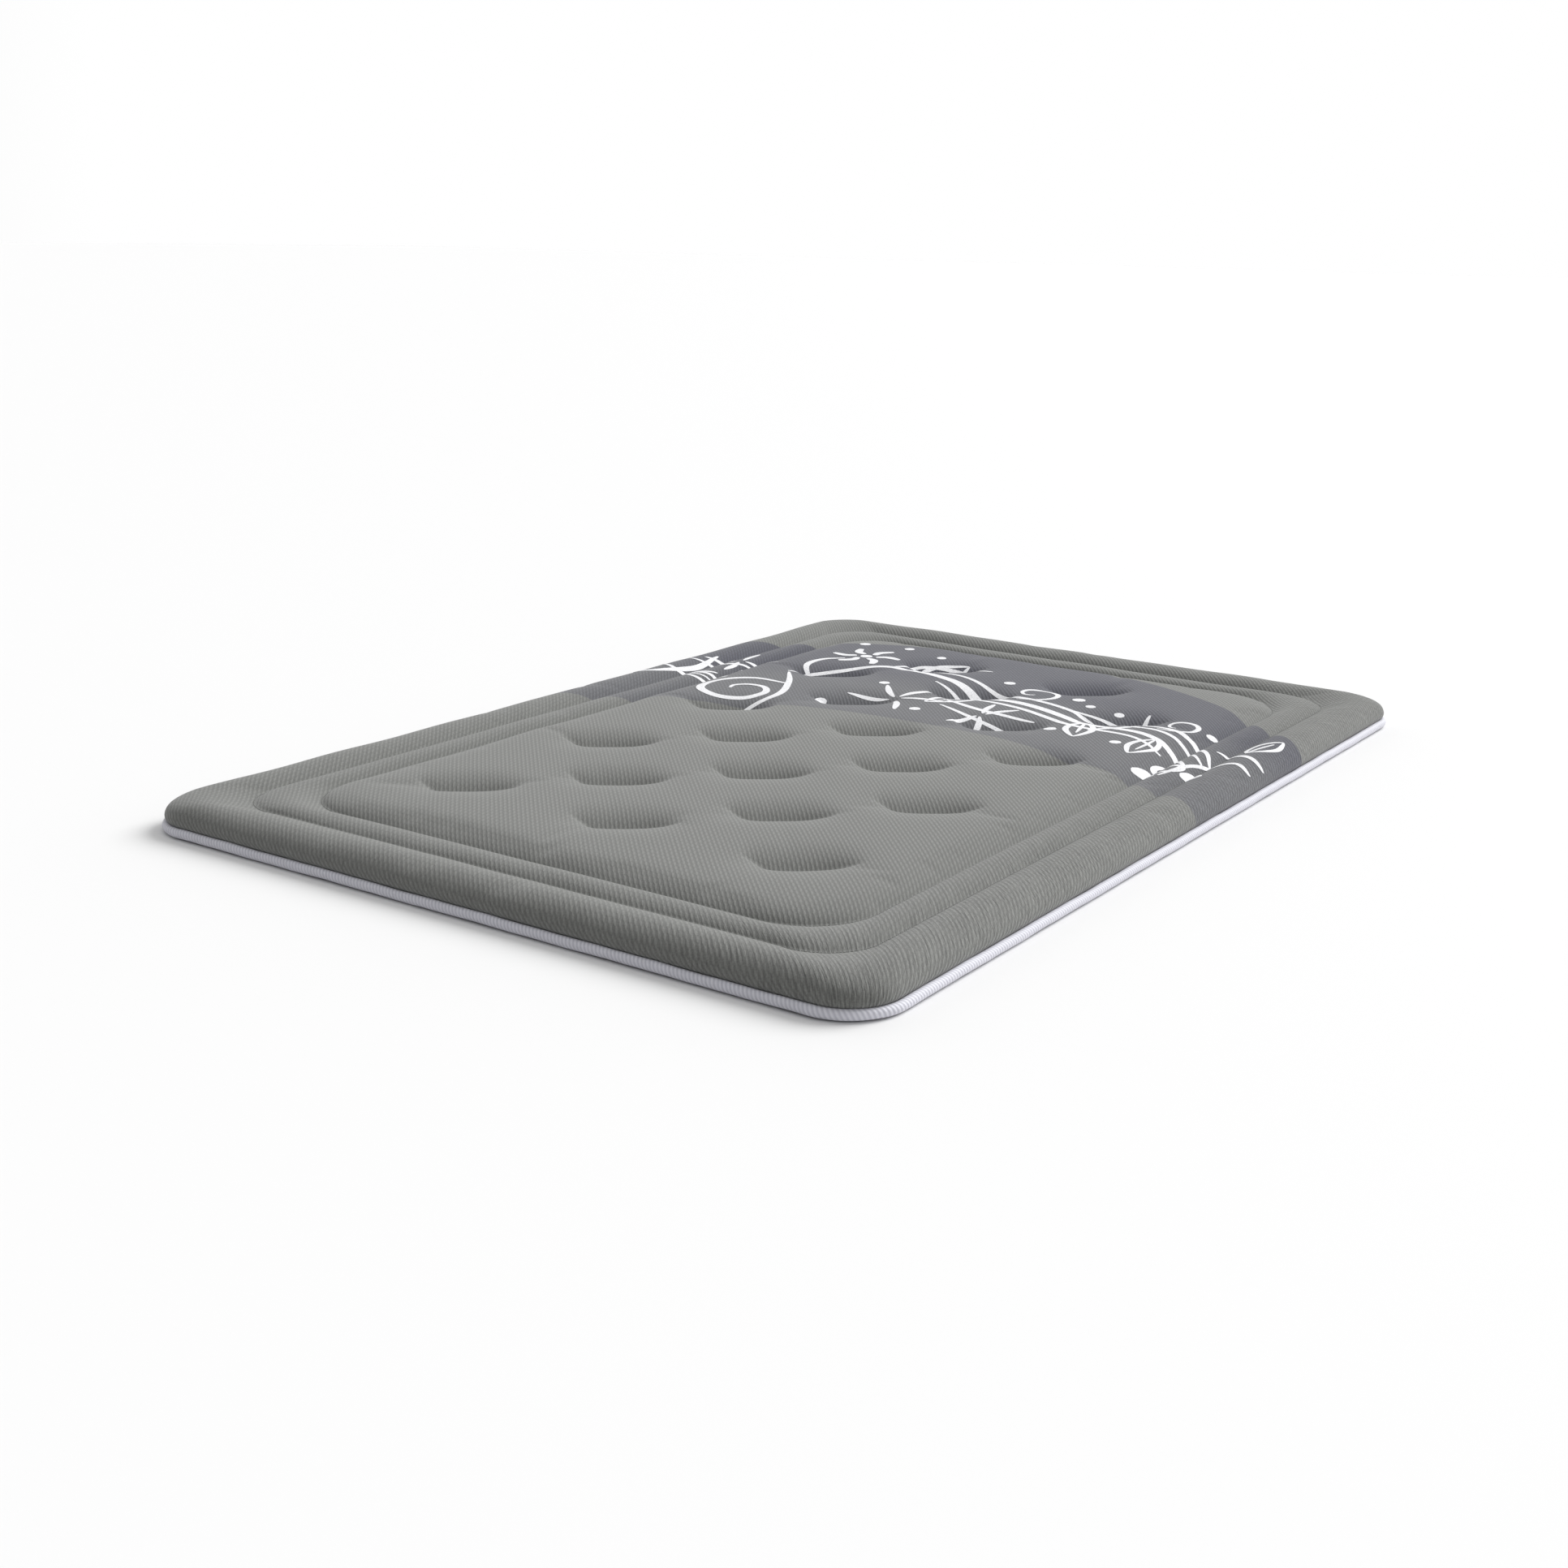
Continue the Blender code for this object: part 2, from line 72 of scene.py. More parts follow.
def new_material(name, hex_colour, roughness, **sockets):
    """A material, its node tree and its Principled shader, with these values on the shader's sockets."""
    material = bpy.data.materials.new(name)
    material.use_nodes = True
    shader = material.node_tree.nodes["Principled BSDF"]
    shader.inputs["Base Color"].default_value = linear(hex_colour)
    shader.inputs["Roughness"].default_value = roughness
    for socket, value in sockets.items():
        shader.inputs[socket.replace("_", " ")].default_value = value
    return material, material.node_tree, shader


def add_node(tree, kind, links=None, values=None, **settings):
    """One node with its settings, the values of its unlinked sockets, and the outputs linked to it."""
    node = tree.nodes.new("ShaderNode" + kind)
    for key, value in settings.items():
        setattr(node, key, value)
    for socket, value in (values or {}).items():
        node.inputs[socket].default_value = value
    for socket, source in (links or {}).items():
        tree.links.new(source, node.inputs[socket])
    return node


def set_material(thing, material):
    thing.data.materials.clear()
    thing.data.materials.append(material)


# Open cells about 1 mm across, drawn at 3 mm, on a cream foam.
foam, tree, shader = new_material("sliced_viscoelastic_foam", "EFE9D8", 0.95)
place = add_node(tree, "TexCoord").outputs["Object"]
cells = add_node(tree, "TexVoronoi", {"Vector": place}, {"Scale": 330.0}).outputs["Distance"]
tint = add_node(tree, "ValToRGB", {"Fac": cells})
tint.color_ramp.elements[0].color = linear("D9D0B8")
tint.color_ramp.elements[1].color = linear("F2EDDF")
tree.links.new(tint.outputs["Color"], shader.inputs["Base Color"])
pits = add_node(tree, "Bump", {"Height": cells}, {"Strength": 0.5, "Distance": 0.001})
tree.links.new(pits.outputs["Normal"], shader.inputs["Normal"])
set_material(nodes["memory_foam_core"], foam)

# ---- Foam sleeve, quilt backing and piping cord ----
# The sleeve is a white jersey sock pulled over the slab. The backing is the thin spun-bonded scrim that
# the wadding and the top are quilted to. The piping's filler is a soft cotton cord.


def woven_material(name, light, dark, spacing, roughness=0.9, sheen=0.2, depth=0.0004, coordinates="Object"):
    """Plain cloth: two crossed waves at the thread spacing in metres, as colour and relief."""
    material, tree, shader = new_material(name, light, roughness, Sheen_Weight=sheen, Sheen_Roughness=0.6)
    place = add_node(tree, "TexCoord").outputs[coordinates]
    values = {"Scale": math.pi / (10 * spacing), "Distortion": 0.6, "Detail": 1.0}
    across = add_node(tree, "TexWave", {"Vector": place}, values, bands_direction="X")
    along = add_node(tree, "TexWave", {"Vector": place}, values, bands_direction="Y")
    woven = add_node(
        tree, "Math", {0: across.outputs["Fac"], 1: along.outputs["Fac"]}, operation="MULTIPLY"
    ).outputs[0]
    tint = add_node(tree, "ValToRGB", {"Fac": woven})
    tint.color_ramp.elements[0].color = linear(dark)
    tint.color_ramp.elements[1].color = linear(light)
    tree.links.new(tint.outputs["Color"], shader.inputs["Base Color"])
    relief = add_node(tree, "Bump", {"Height": woven}, {"Strength": 0.5, "Distance": depth})
    tree.links.new(relief.outputs["Normal"], shader.inputs["Normal"])
    return material


set_material(nodes["foam_sleeve"], woven_material("white_jersey", "F4F4F2", "DEDEDA", 0.003))
set_material(nodes["quilt_backing"], woven_material("spun_bonded_scrim", "E6E6E4", "D2D2D0", 0.004))
set_material(nodes["piping_cord"], woven_material("cotton_cord", "F0F0F0", "D8D8D6", 0.003))
seam_thread = woven_material("seam_thread", "9A9B98", "7C7D7A", 0.001)
set_material(nodes["edge_seam_thread"], seam_thread)

# ---- Quilted top ----
# One sheet of printed stretch knit over fibre wadding. Two seams sewn all the way round pull it down
# into an outer and an inner roll, and short bars of stitches pull the middle down into dimples.
ALONG_X, ALONG_Y = 90, 150
CORNER_CELLS = 8
MIDDLE_INSET = 0.205
CORNER_INSETS = (0.0156, 0.100, 0.165, MIDDLE_INSET)
CORNER_RADII = (0.077, 0.090, 0.120, 0.100)
FLAT_HEIGHT = 0.0520
# The cut through the edge, from the flat of the middle outwards over both rolls and down to the piping.
PROFILE = (
    (MIDDLE_INSET, 0.0502),
    (0.192, 0.0487),
    (0.180, 0.0460),
    (0.171, 0.0416),
    (0.165, 0.0365),
    (0.159, 0.0412),
    (0.149, 0.0458),
    (0.134, 0.0480),
    (0.118, 0.0465),
    (0.107, 0.0430),
    (0.100, 0.0382),
    (0.092, 0.0420),
    (0.080, 0.0468),
    (0.064, 0.0508),
    (0.047, 0.0522),
    (0.032, 0.0503),
    (0.0205, 0.0455),
    (0.0125, 0.0390),
    (0.0088, 0.0320),
    (0.0072, 0.0250),
    (0.0080, 0.0193),
    (0.0110, 0.0158),
    (0.0158, 0.0102),
)
SEAM_RINGS = (4, 10)
SLOT_RING = 18
half_x, half_y = cad_high.x, cad_high.y
zip_low, zip_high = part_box("zip_tape_upper")
zip_half = zip_high.x + 0.0005


def side(cells, half, corner):
    """Steps along a side, from the middle of one corner's arc to the middle of the next, and how far
    each step lies in from the side's line: an arc of 45 degrees, a straight and an arc."""
    step = np.arange(cells + 1)
    turn = np.clip(1 - np.minimum(step, cells - step) / CORNER_CELLS, 0, 1) * math.pi / 4
    straight = np.clip((step - CORNER_CELLS) / (cells - 2 * CORNER_CELLS), 0, 1) * 2 - 1
    along = straight * (half - corner) + np.sign(step - cells / 2) * corner * np.sin(turn)
    return along, corner * (1 - np.cos(turn))


def outline(inset, corner):
    """Steps round the mattress at this inset, anticlockwise from the corner at -X, -Y, as (steps, 2)."""
    wide, long = half_x - inset, half_y - inset
    x, in_x = side(ALONG_X, wide, corner)
    y, in_y = side(ALONG_Y, long, corner)
    sides = ((x, in_x - long), (wide - in_y, y), (x[::-1], long - in_x), (in_y - wide, y[::-1]))
    return np.concatenate([np.stack(pair, axis=1)[:-1] for pair in sides])


def patch(ring):
    """The inside of a ring of steps as a grid, each point blended from the four sides."""
    corners = np.cumsum([0, ALONG_X, ALONG_Y, ALONG_X])
    ring = np.concatenate([ring, ring[:1]])
    foot = ring[corners[0] : corners[1] + 1]
    right = ring[corners[1] : corners[2] + 1]
    head = ring[corners[2] : corners[3] + 1][::-1]
    left = ring[corners[3] :][::-1]
    u = np.linspace(0, 1, ALONG_X + 1)[None, :, None]
    v = np.linspace(0, 1, ALONG_Y + 1)[:, None, None]
    ruled = (1 - v) * foot + v * head + (1 - u) * left[:, None] + u * right[:, None]
    return ruled - (1 - v) * ((1 - u) * foot[0] + u * foot[-1]) - v * ((1 - u) * head[0] + u * head[-1])


def smooth_step(value, start, end):
    """0 below start, 1 above end and a smooth cubic between them."""
    t = np.clip((value - start) / (end - start), 0, 1)
    return t * t * (3 - 2 * t)


profile = np.array(PROFILE)
ring_count, ring_steps = len(profile), 2 * (ALONG_X + ALONG_Y)
ring_corners = np.interp(profile[:, 0], CORNER_INSETS, CORNER_RADII)
rings = np.stack([outline(*pair) for pair in zip(profile[:, 0], ring_corners)])

# Where the zip lies, the wall hangs straight down to the tape, and its columns meet the zip's two ends.
head_side = np.zeros(ring_steps, bool)
head_side[ALONG_X + ALONG_Y + CORNER_CELLS : 2 * ALONG_X + ALONG_Y - CORNER_CELLS + 1] = True
wall = profile[:, 1] < 0.045
wall[:16] = False
columns = np.flatnonzero(head_side)
for end in (-zip_half, zip_half):
    nearest = columns[np.argmin(abs(rings[SLOT_RING, columns, 0] - end))]
    rings[wall, nearest, 0] = end
over_zip = head_side * (1 - smooth_step(abs(rings[SLOT_RING, :, 0]), zip_half - 0.01, zip_half + 0.02))
straight_y = half_y - 0.0160
hang = smooth_step(-profile[:, 1], -0.046, -0.034)[:, None] * wall[:, None] * over_zip[None, :]
rings[:, :, 1] += hang * (np.minimum(rings[:, :, 1], straight_y) - rings[:, :, 1])

# The flat-lying size of the cloth: each ring is laid out at its distance over the rolls.
run = np.concatenate([[0], np.cumsum(np.hypot(*np.diff(profile, axis=0).T))])
flat_insets = MIDDLE_INSET - run
flat_corners = ring_corners + profile[:, 0] - flat_insets
flat_rings = np.stack([outline(*pair) for pair in zip(flat_insets, flat_corners)])

middle = patch(rings[0])
rows, cols = middle.shape[:2]
number = np.arange(rows * cols).reshape(rows, cols)
rim = np.concatenate([number[0, :-1], number[:-1, -1], number[-1, :0:-1], number[:0:-1, 0]])
ring_numbers = np.concatenate([[rim], rows * cols + np.arange((ring_count - 1) * ring_steps).reshape(-1, ring_steps)])

# Tufts, read from the stitches in the frame.
tuft_names = sorted(name for name in nodes if name.startswith("tuft_stitch"))
tufts = np.array([[sum(pair) / 2 for pair in zip(*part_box(name))] for name in tuft_names])
TUFT_TURN = math.radians(34)


def tuft_offsets(plan):
    """For each point and tuft, the distance along the tuft's bar and across it."""
    away = plan[:, None, :] - tufts[None, :, :2]
    along = away[..., 0] * math.cos(TUFT_TURN) + away[..., 1] * math.sin(TUFT_TURN)
    across = away[..., 1] * math.cos(TUFT_TURN) - away[..., 0] * math.sin(TUFT_TURN)
    return along, across


def hollow(plan):
    """The wide part of the dimples: a bell across each tuft's bar, drawn out along it."""
    along, across = tuft_offsets(plan)
    return np.exp(-(abs(along / 0.080) ** 3 + (across / 0.048) ** 2)).sum(axis=1)


def crease(plan):
    """The sharp part of the dimples: across the bar a rounded peak, steeper on its -Y side, and along it
    a trough that ends steeply. Its -X end hooks away towards +Y."""
    along, across = tuft_offsets(plan)
    across = across - 0.030 * smooth_step(-along, 0.038, 0.088) - 0.004 * np.sin(along / 0.028)
    ends = np.clip(np.where(along < 0, 1 - abs(along / 0.086) ** 4, 1 - abs(along / 0.094) ** 3), 0, 1)
    width = np.where(across < 0, 0.0105, 0.022) * (0.65 + 0.35 * ends)
    return (ends * np.exp(-np.sqrt(across**2 + 0.0035**2) / width)).sum(axis=1)


def edge_fall(plan):
    """How far the middle lies below its flat near the inner roll: 1 at the rim, fading with distance."""
    beyond = abs(plan) - (half_x - MIDDLE_INSET - CORNER_RADII[-1], half_y - MIDDLE_INSET - CORNER_RADII[-1])
    reach = np.hypot(*np.maximum(beyond, 0).T) + np.minimum(beyond.max(axis=1), 0)
    return np.exp(-(CORNER_RADII[-1] - reach) / 0.028)


def swell(plan):
    """Slow unevenness of hand-laid wadding, about 1 mm, as a sum of slanted waves."""
    x, y = plan[:, 0], plan[:, 1]
    return 0.0004 * (np.sin(9 * x + 4 * y) + np.sin(5 * x - 11 * y + 1) + np.sin(17 * x + 13 * y + 2))


WIDE_DEPTH, SHARP_DEPTH = 0.0075, 0.0135
DIMPLE_FLOOR = 0.0328
middle = middle.reshape(-1, 2)
inside = FLAT_HEIGHT + swell(middle) - WIDE_DEPTH * hollow(middle)
inside -= (FLAT_HEIGHT - PROFILE[0][1]) * edge_fall(middle)
border = rings[1:].reshape(-1, 2)
lift = np.repeat(profile[1:, 1], ring_steps)
crest = np.repeat(smooth_step(profile[1:, 1], 0.040, 0.050), ring_steps)
outside = lift + swell(border * 2) * crest - WIDE_DEPTH * hollow(border) * (border[:, 0] ** 2 < 0.26) * crest
start = np.concatenate(
    [np.column_stack([middle, inside]), np.column_stack([border, outside])]
)
start[rim, 2] = profile[0, 1] + swell(start[rim, :2]) - WIDE_DEPTH * hollow(start[rim, :2])

quads = np.stack([number[:-1, :-1], number[:-1, 1:], number[1:, 1:], number[1:, :-1]], axis=-1).reshape(-1, 4)
turned = np.roll(ring_numbers, -1, axis=1)
belts = np.stack([ring_numbers[:-1], ring_numbers[1:], turned[1:], turned[:-1]], axis=-1)
slot = np.zeros(belts.shape[:2], bool)
slot_x = rings[SLOT_RING, :, 0]
slot[SLOT_RING:] = head_side & np.roll(head_side, -1) & (abs(slot_x + np.roll(slot_x, -1)) / 2 < zip_half)
quads = np.concatenate([quads, belts[~slot]])


def new_mesh(name, points, faces):
    """A mesh of points (n, 3) and four-cornered faces (m, 4), filled array by array."""
    mesh = bpy.data.meshes.new(name)
    mesh.vertices.add(len(points))
    mesh.vertices.foreach_set("co", np.ascontiguousarray(points, np.float32).ravel())
    mesh.loops.add(faces.size)
    mesh.loops.foreach_set("vertex_index", faces.astype(np.int32).ravel())
    mesh.polygons.add(len(faces))
    mesh.polygons.foreach_set("loop_start", np.arange(0, faces.size, 4, dtype=np.int32))
    mesh.update(calc_edges=True)
    mesh.shade_smooth()
    return mesh


def new_object(name, mesh):
    thing = bpy.data.objects.new(name, mesh)
    bpy.context.scene.collection.objects.link(thing)
    return thing


def positions(mesh):
    values = np.empty(len(mesh.vertices) * 3, np.float32)
    mesh.vertices.foreach_get("co", values)
    return values.reshape(-1, 3).astype(float)


def baked(thing):
    """The object's mesh with its modifiers applied."""
    graph = bpy.context.evaluated_depsgraph_get()
    return bpy.data.meshes.new_from_object(thing.evaluated_get(graph), depsgraph=graph)


# Fibre pressure: the sheet is held at its seams, tufts and wall foot, and swells between them.
SWELL_STEPS = 20
SWELL_LIMIT = 0.0035
used = np.unique(quads)
renumber = np.full(len(start), -1)
renumber[used] = np.arange(len(used))
sheet_points, sheet_faces = start[used], renumber[quads]
along, across = tuft_offsets(sheet_points[:, :2])
held = np.exp(-((along / 0.060) ** 4 + (across / 0.014) ** 2)).sum(axis=1)
seam_numbers = renumber[ring_numbers[list(SEAM_RINGS)].ravel()]
held[seam_numbers] = 1
held[sheet_points[:, 2] < 0.0335] = 1
sheet = new_object("swelling_sheet", new_mesh("swelling_sheet", sheet_points, sheet_faces))
group = sheet.vertex_groups.new(name="held")
for level in range(1, 11):
    group.add(np.flatnonzero(np.round(held * 10) == level).tolist(), level / 10, "REPLACE")
cloth = sheet.modifiers.new("cloth", "CLOTH")
cloth.settings.quality = 6
cloth.settings.mass = 0.3
cloth.settings.tension_stiffness = 25
cloth.settings.compression_stiffness = 10
cloth.settings.shear_stiffness = 8
cloth.settings.bending_stiffness = 3.0
cloth.settings.use_pressure = True
cloth.settings.uniform_pressure_force = 4
cloth.settings.shrink_min = -0.003
cloth.settings.vertex_group_mass = "held"
cloth.settings.effector_weights.gravity = 0
cloth.point_cache.frame_end = SWELL_STEPS
for step in range(1, SWELL_STEPS + 1):
    bpy.context.scene.frame_set(step)
swollen = positions(baked(sheet))
moved = swollen - sheet_points
length = np.linalg.norm(moved, axis=1, keepdims=True)
moved *= SWELL_LIMIT * np.tanh(length / SWELL_LIMIT) / np.maximum(length, 1e-9)
sheet_points = sheet_points + moved * (1 - held[:, None])
bpy.data.objects.remove(sheet)
bpy.context.scene.frame_set(1)

# One subdivision, with the seams kept sharp. The cloth's own coordinates go with it.
sheet_mesh = new_mesh("quilted_top", sheet_points, sheet_faces)
corner_points = np.empty(len(sheet_mesh.loops), np.int32)
sheet_mesh.loops.foreach_get("vertex_index", corner_points)
flat = np.concatenate([middle, flat_rings[1:].reshape(-1, 2)])[used]
sheet_mesh.uv_layers.new(name="cloth").data.foreach_set("uv", flat[corner_points].astype(np.float32).ravel())
turn = np.tile(2 * math.pi * np.arange(ring_steps) / ring_steps, ring_count - 1)
round_edge = np.column_stack([np.cos(turn), np.sin(turn), np.repeat(run[1:], ring_steps)])
round_edge = np.concatenate([np.zeros((len(middle), 3)), round_edge])[used]
streaks = np.concatenate([np.zeros(len(middle)), np.repeat(smooth_step(run[1:], 0.03, 0.09), ring_steps)])[used]
sheet_mesh.attributes.new("round_edge", "FLOAT_VECTOR", "POINT").data.foreach_set(
    "vector", round_edge.astype(np.float32).ravel()
)
sheet_mesh.attributes.new("streaks", "FLOAT", "POINT").data.foreach_set("value", streaks.astype(np.float32))
ends = np.empty(len(sheet_mesh.edges) * 2, np.int32)
sheet_mesh.edges.foreach_get("vertices", ends)
in_seam = np.zeros((2, len(sheet_points)), bool)
for row, ring in enumerate(SEAM_RINGS):
    in_seam[row, renumber[ring_numbers[ring]]] = True
sharp = in_seam[:, ends.reshape(-1, 2)].all(axis=2).any(axis=0)
sheet_mesh.attributes.new("crease_edge", "FLOAT", "EDGE").data.foreach_set("value", sharp.astype(np.float32))
quilted_top = new_object("quilted_top", sheet_mesh)
finer = quilted_top.modifiers.new("finer", "SUBSURF")
finer.levels = finer.render_levels = 1
fine_mesh = baked(quilted_top)
quilted_top.modifiers.clear()
quilted_top.data = fine_mesh
points = positions(fine_mesh)
top_side = (abs(points[:, 0]) < 0.515) & (abs(points[:, 1]) < 0.84)
points[:, 2] -= SHARP_DEPTH * crease(points[:, :2]) * top_side
points[:, 2] = np.where(top_side, np.maximum(points[:, 2], DIMPLE_FLOOR), points[:, 2])
fine_mesh.vertices.foreach_set("co", points.astype(np.float32).ravel())



def closed_below(mesh, turns):
    """Close an open sheet. Its edge is carried inwards and up or down in turns of (inward, height), where
    no height means level, and a flat face closes the last turn."""
    shell = bmesh.new()
    shell.from_mesh(mesh)
    edges = [edge for edge in shell.edges if edge.is_boundary]
    for inward, height in turns:
        raised = bmesh.ops.extrude_edge_only(shell, edges=edges)["geom"]
        edges = [item for item in raised if isinstance(item, bmesh.types.BMEdge) and item.is_boundary]
        for vert in {vert for edge in edges for vert in edge.verts}:
            vert.co.x -= math.copysign(inward, vert.co.x) * (abs(vert.co.x) > half_x - CORNER_REACH)
            vert.co.y -= math.copysign(inward, vert.co.y) * (abs(vert.co.y) > half_y - CORNER_REACH)
            vert.co.z = vert.co.z if height is None else height
    bmesh.ops.contextual_create(shell, geom=edges)
    bmesh.ops.recalc_face_normals(shell, faces=shell.faces[:])
    shell.to_mesh(mesh)
    shell.free()
    mesh.shade_smooth()


# The sheet's raw edge turns in, and it is closed by a flat face that lies on the backing.
CORNER_REACH = 0.095
UNDERSIDE = 0.0318
wadding_mesh = fine_mesh.copy()
closed_below(fine_mesh, ((0.0013, None), (0.0008, UNDERSIDE)))

# Fine polyester stretch knit, piece-printed: light grey at the foot, mid grey, slate blue grey, and light
# grey again past an arc at the head. Its ribs run on the bias and are broken into short dashes.
LIGHT_GREY, MID_GREY, SLATE = "6D6E6B", "57585C", "43444F"
RIB_SPACING, KNOT_SPACING = 0.0067, 0.0093
knit, tree, shader = new_material("printed_stretch_knit", LIGHT_GREY, 0.88, Sheen_Weight=0.25, Sheen_Roughness=0.5)
place = add_node(tree, "SeparateXYZ", {"Vector": add_node(tree, "TexCoord").outputs["Object"]})


def arc_zone(peak_x, peak_y, bend, soft):
    """0 on the foot side of the line y = peak_y - bend (x - peak_x)^2 and 1 on its head side."""
    aside = add_node(tree, "Math", {0: place.outputs["X"]}, {1: peak_x}, operation="SUBTRACT")
    squared = add_node(tree, "Math", {0: aside.outputs[0], 1: aside.outputs[0]}, operation="MULTIPLY")
    raised = add_node(
        tree, "Math", {0: squared.outputs[0], 2: place.outputs["Y"]}, {1: bend}, operation="MULTIPLY_ADD"
    )
    values = {"From Min": peak_y - soft / 2, "From Max": peak_y + soft / 2}
    return add_node(tree, "MapRange", {"Value": raised.outputs[0]}, values).outputs["Result"]


def mixed(factor, first, second):
    """The colour first where factor is 0 and second where it is 1. Either may be a hex colour."""
    mix = add_node(tree, "Mix", {"Factor": factor}, data_type="RGBA")
    for socket, colour in ((6, first), (7, second)):
        if isinstance(colour, str):
            mix.inputs[socket].default_value = linear(colour)
        else:
            tree.links.new(colour, mix.inputs[socket])
    return mix.outputs[2]


printed = mixed(arc_zone(0.05, 0.185, 0.50, 0.004), LIGHT_GREY, MID_GREY)
printed = mixed(arc_zone(0.05, 0.48, 0.35, 0.16), printed, SLATE)
printed = mixed(arc_zone(-0.05, 0.82, 0.68, 0.004), printed, LIGHT_GREY)

cloth_map = add_node(tree, "UVMap", uv_map="cloth").outputs["UV"]
wave = {"Scale": math.pi / (10 * RIB_SPACING), "Distortion": 0.35, "Detail": 1.0, "Detail Scale": 3.0}
bias = add_node(tree, "Mapping", {"Vector": cloth_map}, {"Rotation": (0, 0, math.radians(-43))})
ribs = add_node(tree, "TexWave", {"Vector": bias.outputs["Vector"]}, wave, bands_direction="X").outputs["Fac"]
wave["Scale"] = math.pi / (10 * KNOT_SPACING)
steep = add_node(tree, "Mapping", {"Vector": cloth_map}, {"Rotation": (0, 0, math.radians(-8))})
knots = add_node(tree, "TexWave", {"Vector": steep.outputs["Vector"]}, wave, bands_direction="X").outputs["Fac"]
knot_share = add_node(tree, "MapRange", {"Value": knots}, {"To Min": 0.45, "To Max": 1.0}).outputs["Result"]
stitch_height = add_node(tree, "Math", {0: ribs, 1: knot_share}, operation="MULTIPLY").outputs[0]
stitch_height = add_node(
    tree,
    "MapRange",
    {"Value": stitch_height},
    {"From Min": 0.08, "From Max": 0.78},
    interpolation_type="SMOOTHSTEP",
).outputs["Result"]

yarn = add_node(tree, "TexNoise", {"Vector": cloth_map}, {"Scale": 380.0, "Detail": 4.0}).outputs["Fac"]
edge_place = add_node(tree, "Attribute", attribute_name="round_edge")
pulled = add_node(tree, "Mapping", {"Vector": edge_place.outputs["Vector"]}, {"Scale": (1.0, 1.0, 0.08)})
brushed = add_node(tree, "TexNoise", {"Vector": pulled.outputs["Vector"]}, {"Scale": 400.0, "Detail": 3.0})
streak_share = add_node(tree, "Attribute", attribute_name="streaks").outputs["Fac"]
right_side = add_node(
    tree, "MapRange", {"Value": place.outputs["X"]}, {"From Min": 0.30, "From Max": 0.60, "To Min": 0.4, "To Max": 1.0}
).outputs["Result"]
streak_share = add_node(tree, "Math", {0: streak_share, 1: right_side}, operation="MULTIPLY").outputs[0]
streak = add_node(tree, "Math", {0: brushed.outputs["Fac"]}, {1: 0.5}, operation="SUBTRACT").outputs[0]
streak = add_node(tree, "Math", {0: streak, 1: streak_share}, operation="MULTIPLY").outputs[0]

shade = add_node(tree, "Math", {0: stitch_height}, {1: 0.34, 2: 0.42}, operation="MULTIPLY_ADD").outputs[0]
shade = add_node(tree, "Math", {0: yarn, 2: shade}, {1: 0.84}, operation="MULTIPLY_ADD").outputs[0]
shade = add_node(tree, "Math", {0: streak, 2: shade}, {1: 1.25}, operation="MULTIPLY_ADD").outputs[0]
coloured = add_node(tree, "VectorMath", {0: printed, "Scale": shade}, operation="SCALE").outputs["Vector"]
tree.links.new(coloured, shader.inputs["Base Color"])
height = add_node(tree, "Math", {0: streak, 2: stitch_height}, {1: 2.5}, operation="MULTIPLY_ADD").outputs[0]
height = add_node(tree, "Math", {0: yarn, 2: height}, {1: 0.3}, operation="MULTIPLY_ADD").outputs[0]
relief = add_node(tree, "Bump", {"Height": height}, {"Strength": 0.75, "Distance": 0.0007})
tree.links.new(relief.outputs["Normal"], shader.inputs["Normal"])
set_material(quilted_top, knit)
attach(quilted_top, "mattress")
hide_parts("top_cover")

# ---- Printed ornament ----
# A white screen print on the mid grey and slate part of the knit: stems, leaves, rings and dots, laid on
# thick enough to stand a little proud of the yarn.
PRINT_STEP = 0.0035
PRINT_LIFT = 0.0005
PRINT_THICKNESS = 0.0009
ACROSS = np.array([-1.0, -0.5, 0.0, 0.5, 1.0])


def smooth_curve(points, closed=False):
    """A curve through the points, each span a cubic whose slope at a point is half the way between its
    neighbours, resampled at even steps."""
    points = np.asarray(points, float)
    before = np.roll(points, 1, axis=0) if closed else np.vstack([2 * points[0] - points[1], points[:-1]])
    after = np.roll(points, -1, axis=0) if closed else np.vstack([points[1:], 2 * points[-1] - points[-2]])
    slope = (after - before) / 2
    ends = (points, after, slope, np.roll(slope, -1, axis=0))
    if not closed:
        ends = tuple(values[:-1] for values in ends)
    first, last, slope_in, slope_out = (values[:, None, :] for values in ends)
    t = np.linspace(0, 1, 24, endpoint=False)[None, :, None]
    curve = (2 * t**3 - 3 * t**2 + 1) * first + (3 * t**2 - 2 * t**3) * last
    curve = (curve + (t**3 - 2 * t**2 + t) * slope_in + (t**3 - t**2) * slope_out).reshape(-1, 2)
    curve = np.vstack([curve, points[:1] if closed else points[-1:]])
    run = np.concatenate([[0], np.cumsum(np.hypot(*np.diff(curve, axis=0).T))])
    place = np.linspace(0, run[-1], max(int(run[-1] / PRINT_STEP), 8))
    return np.column_stack([np.interp(place, run, curve[:, axis]) for axis in (0, 1)])


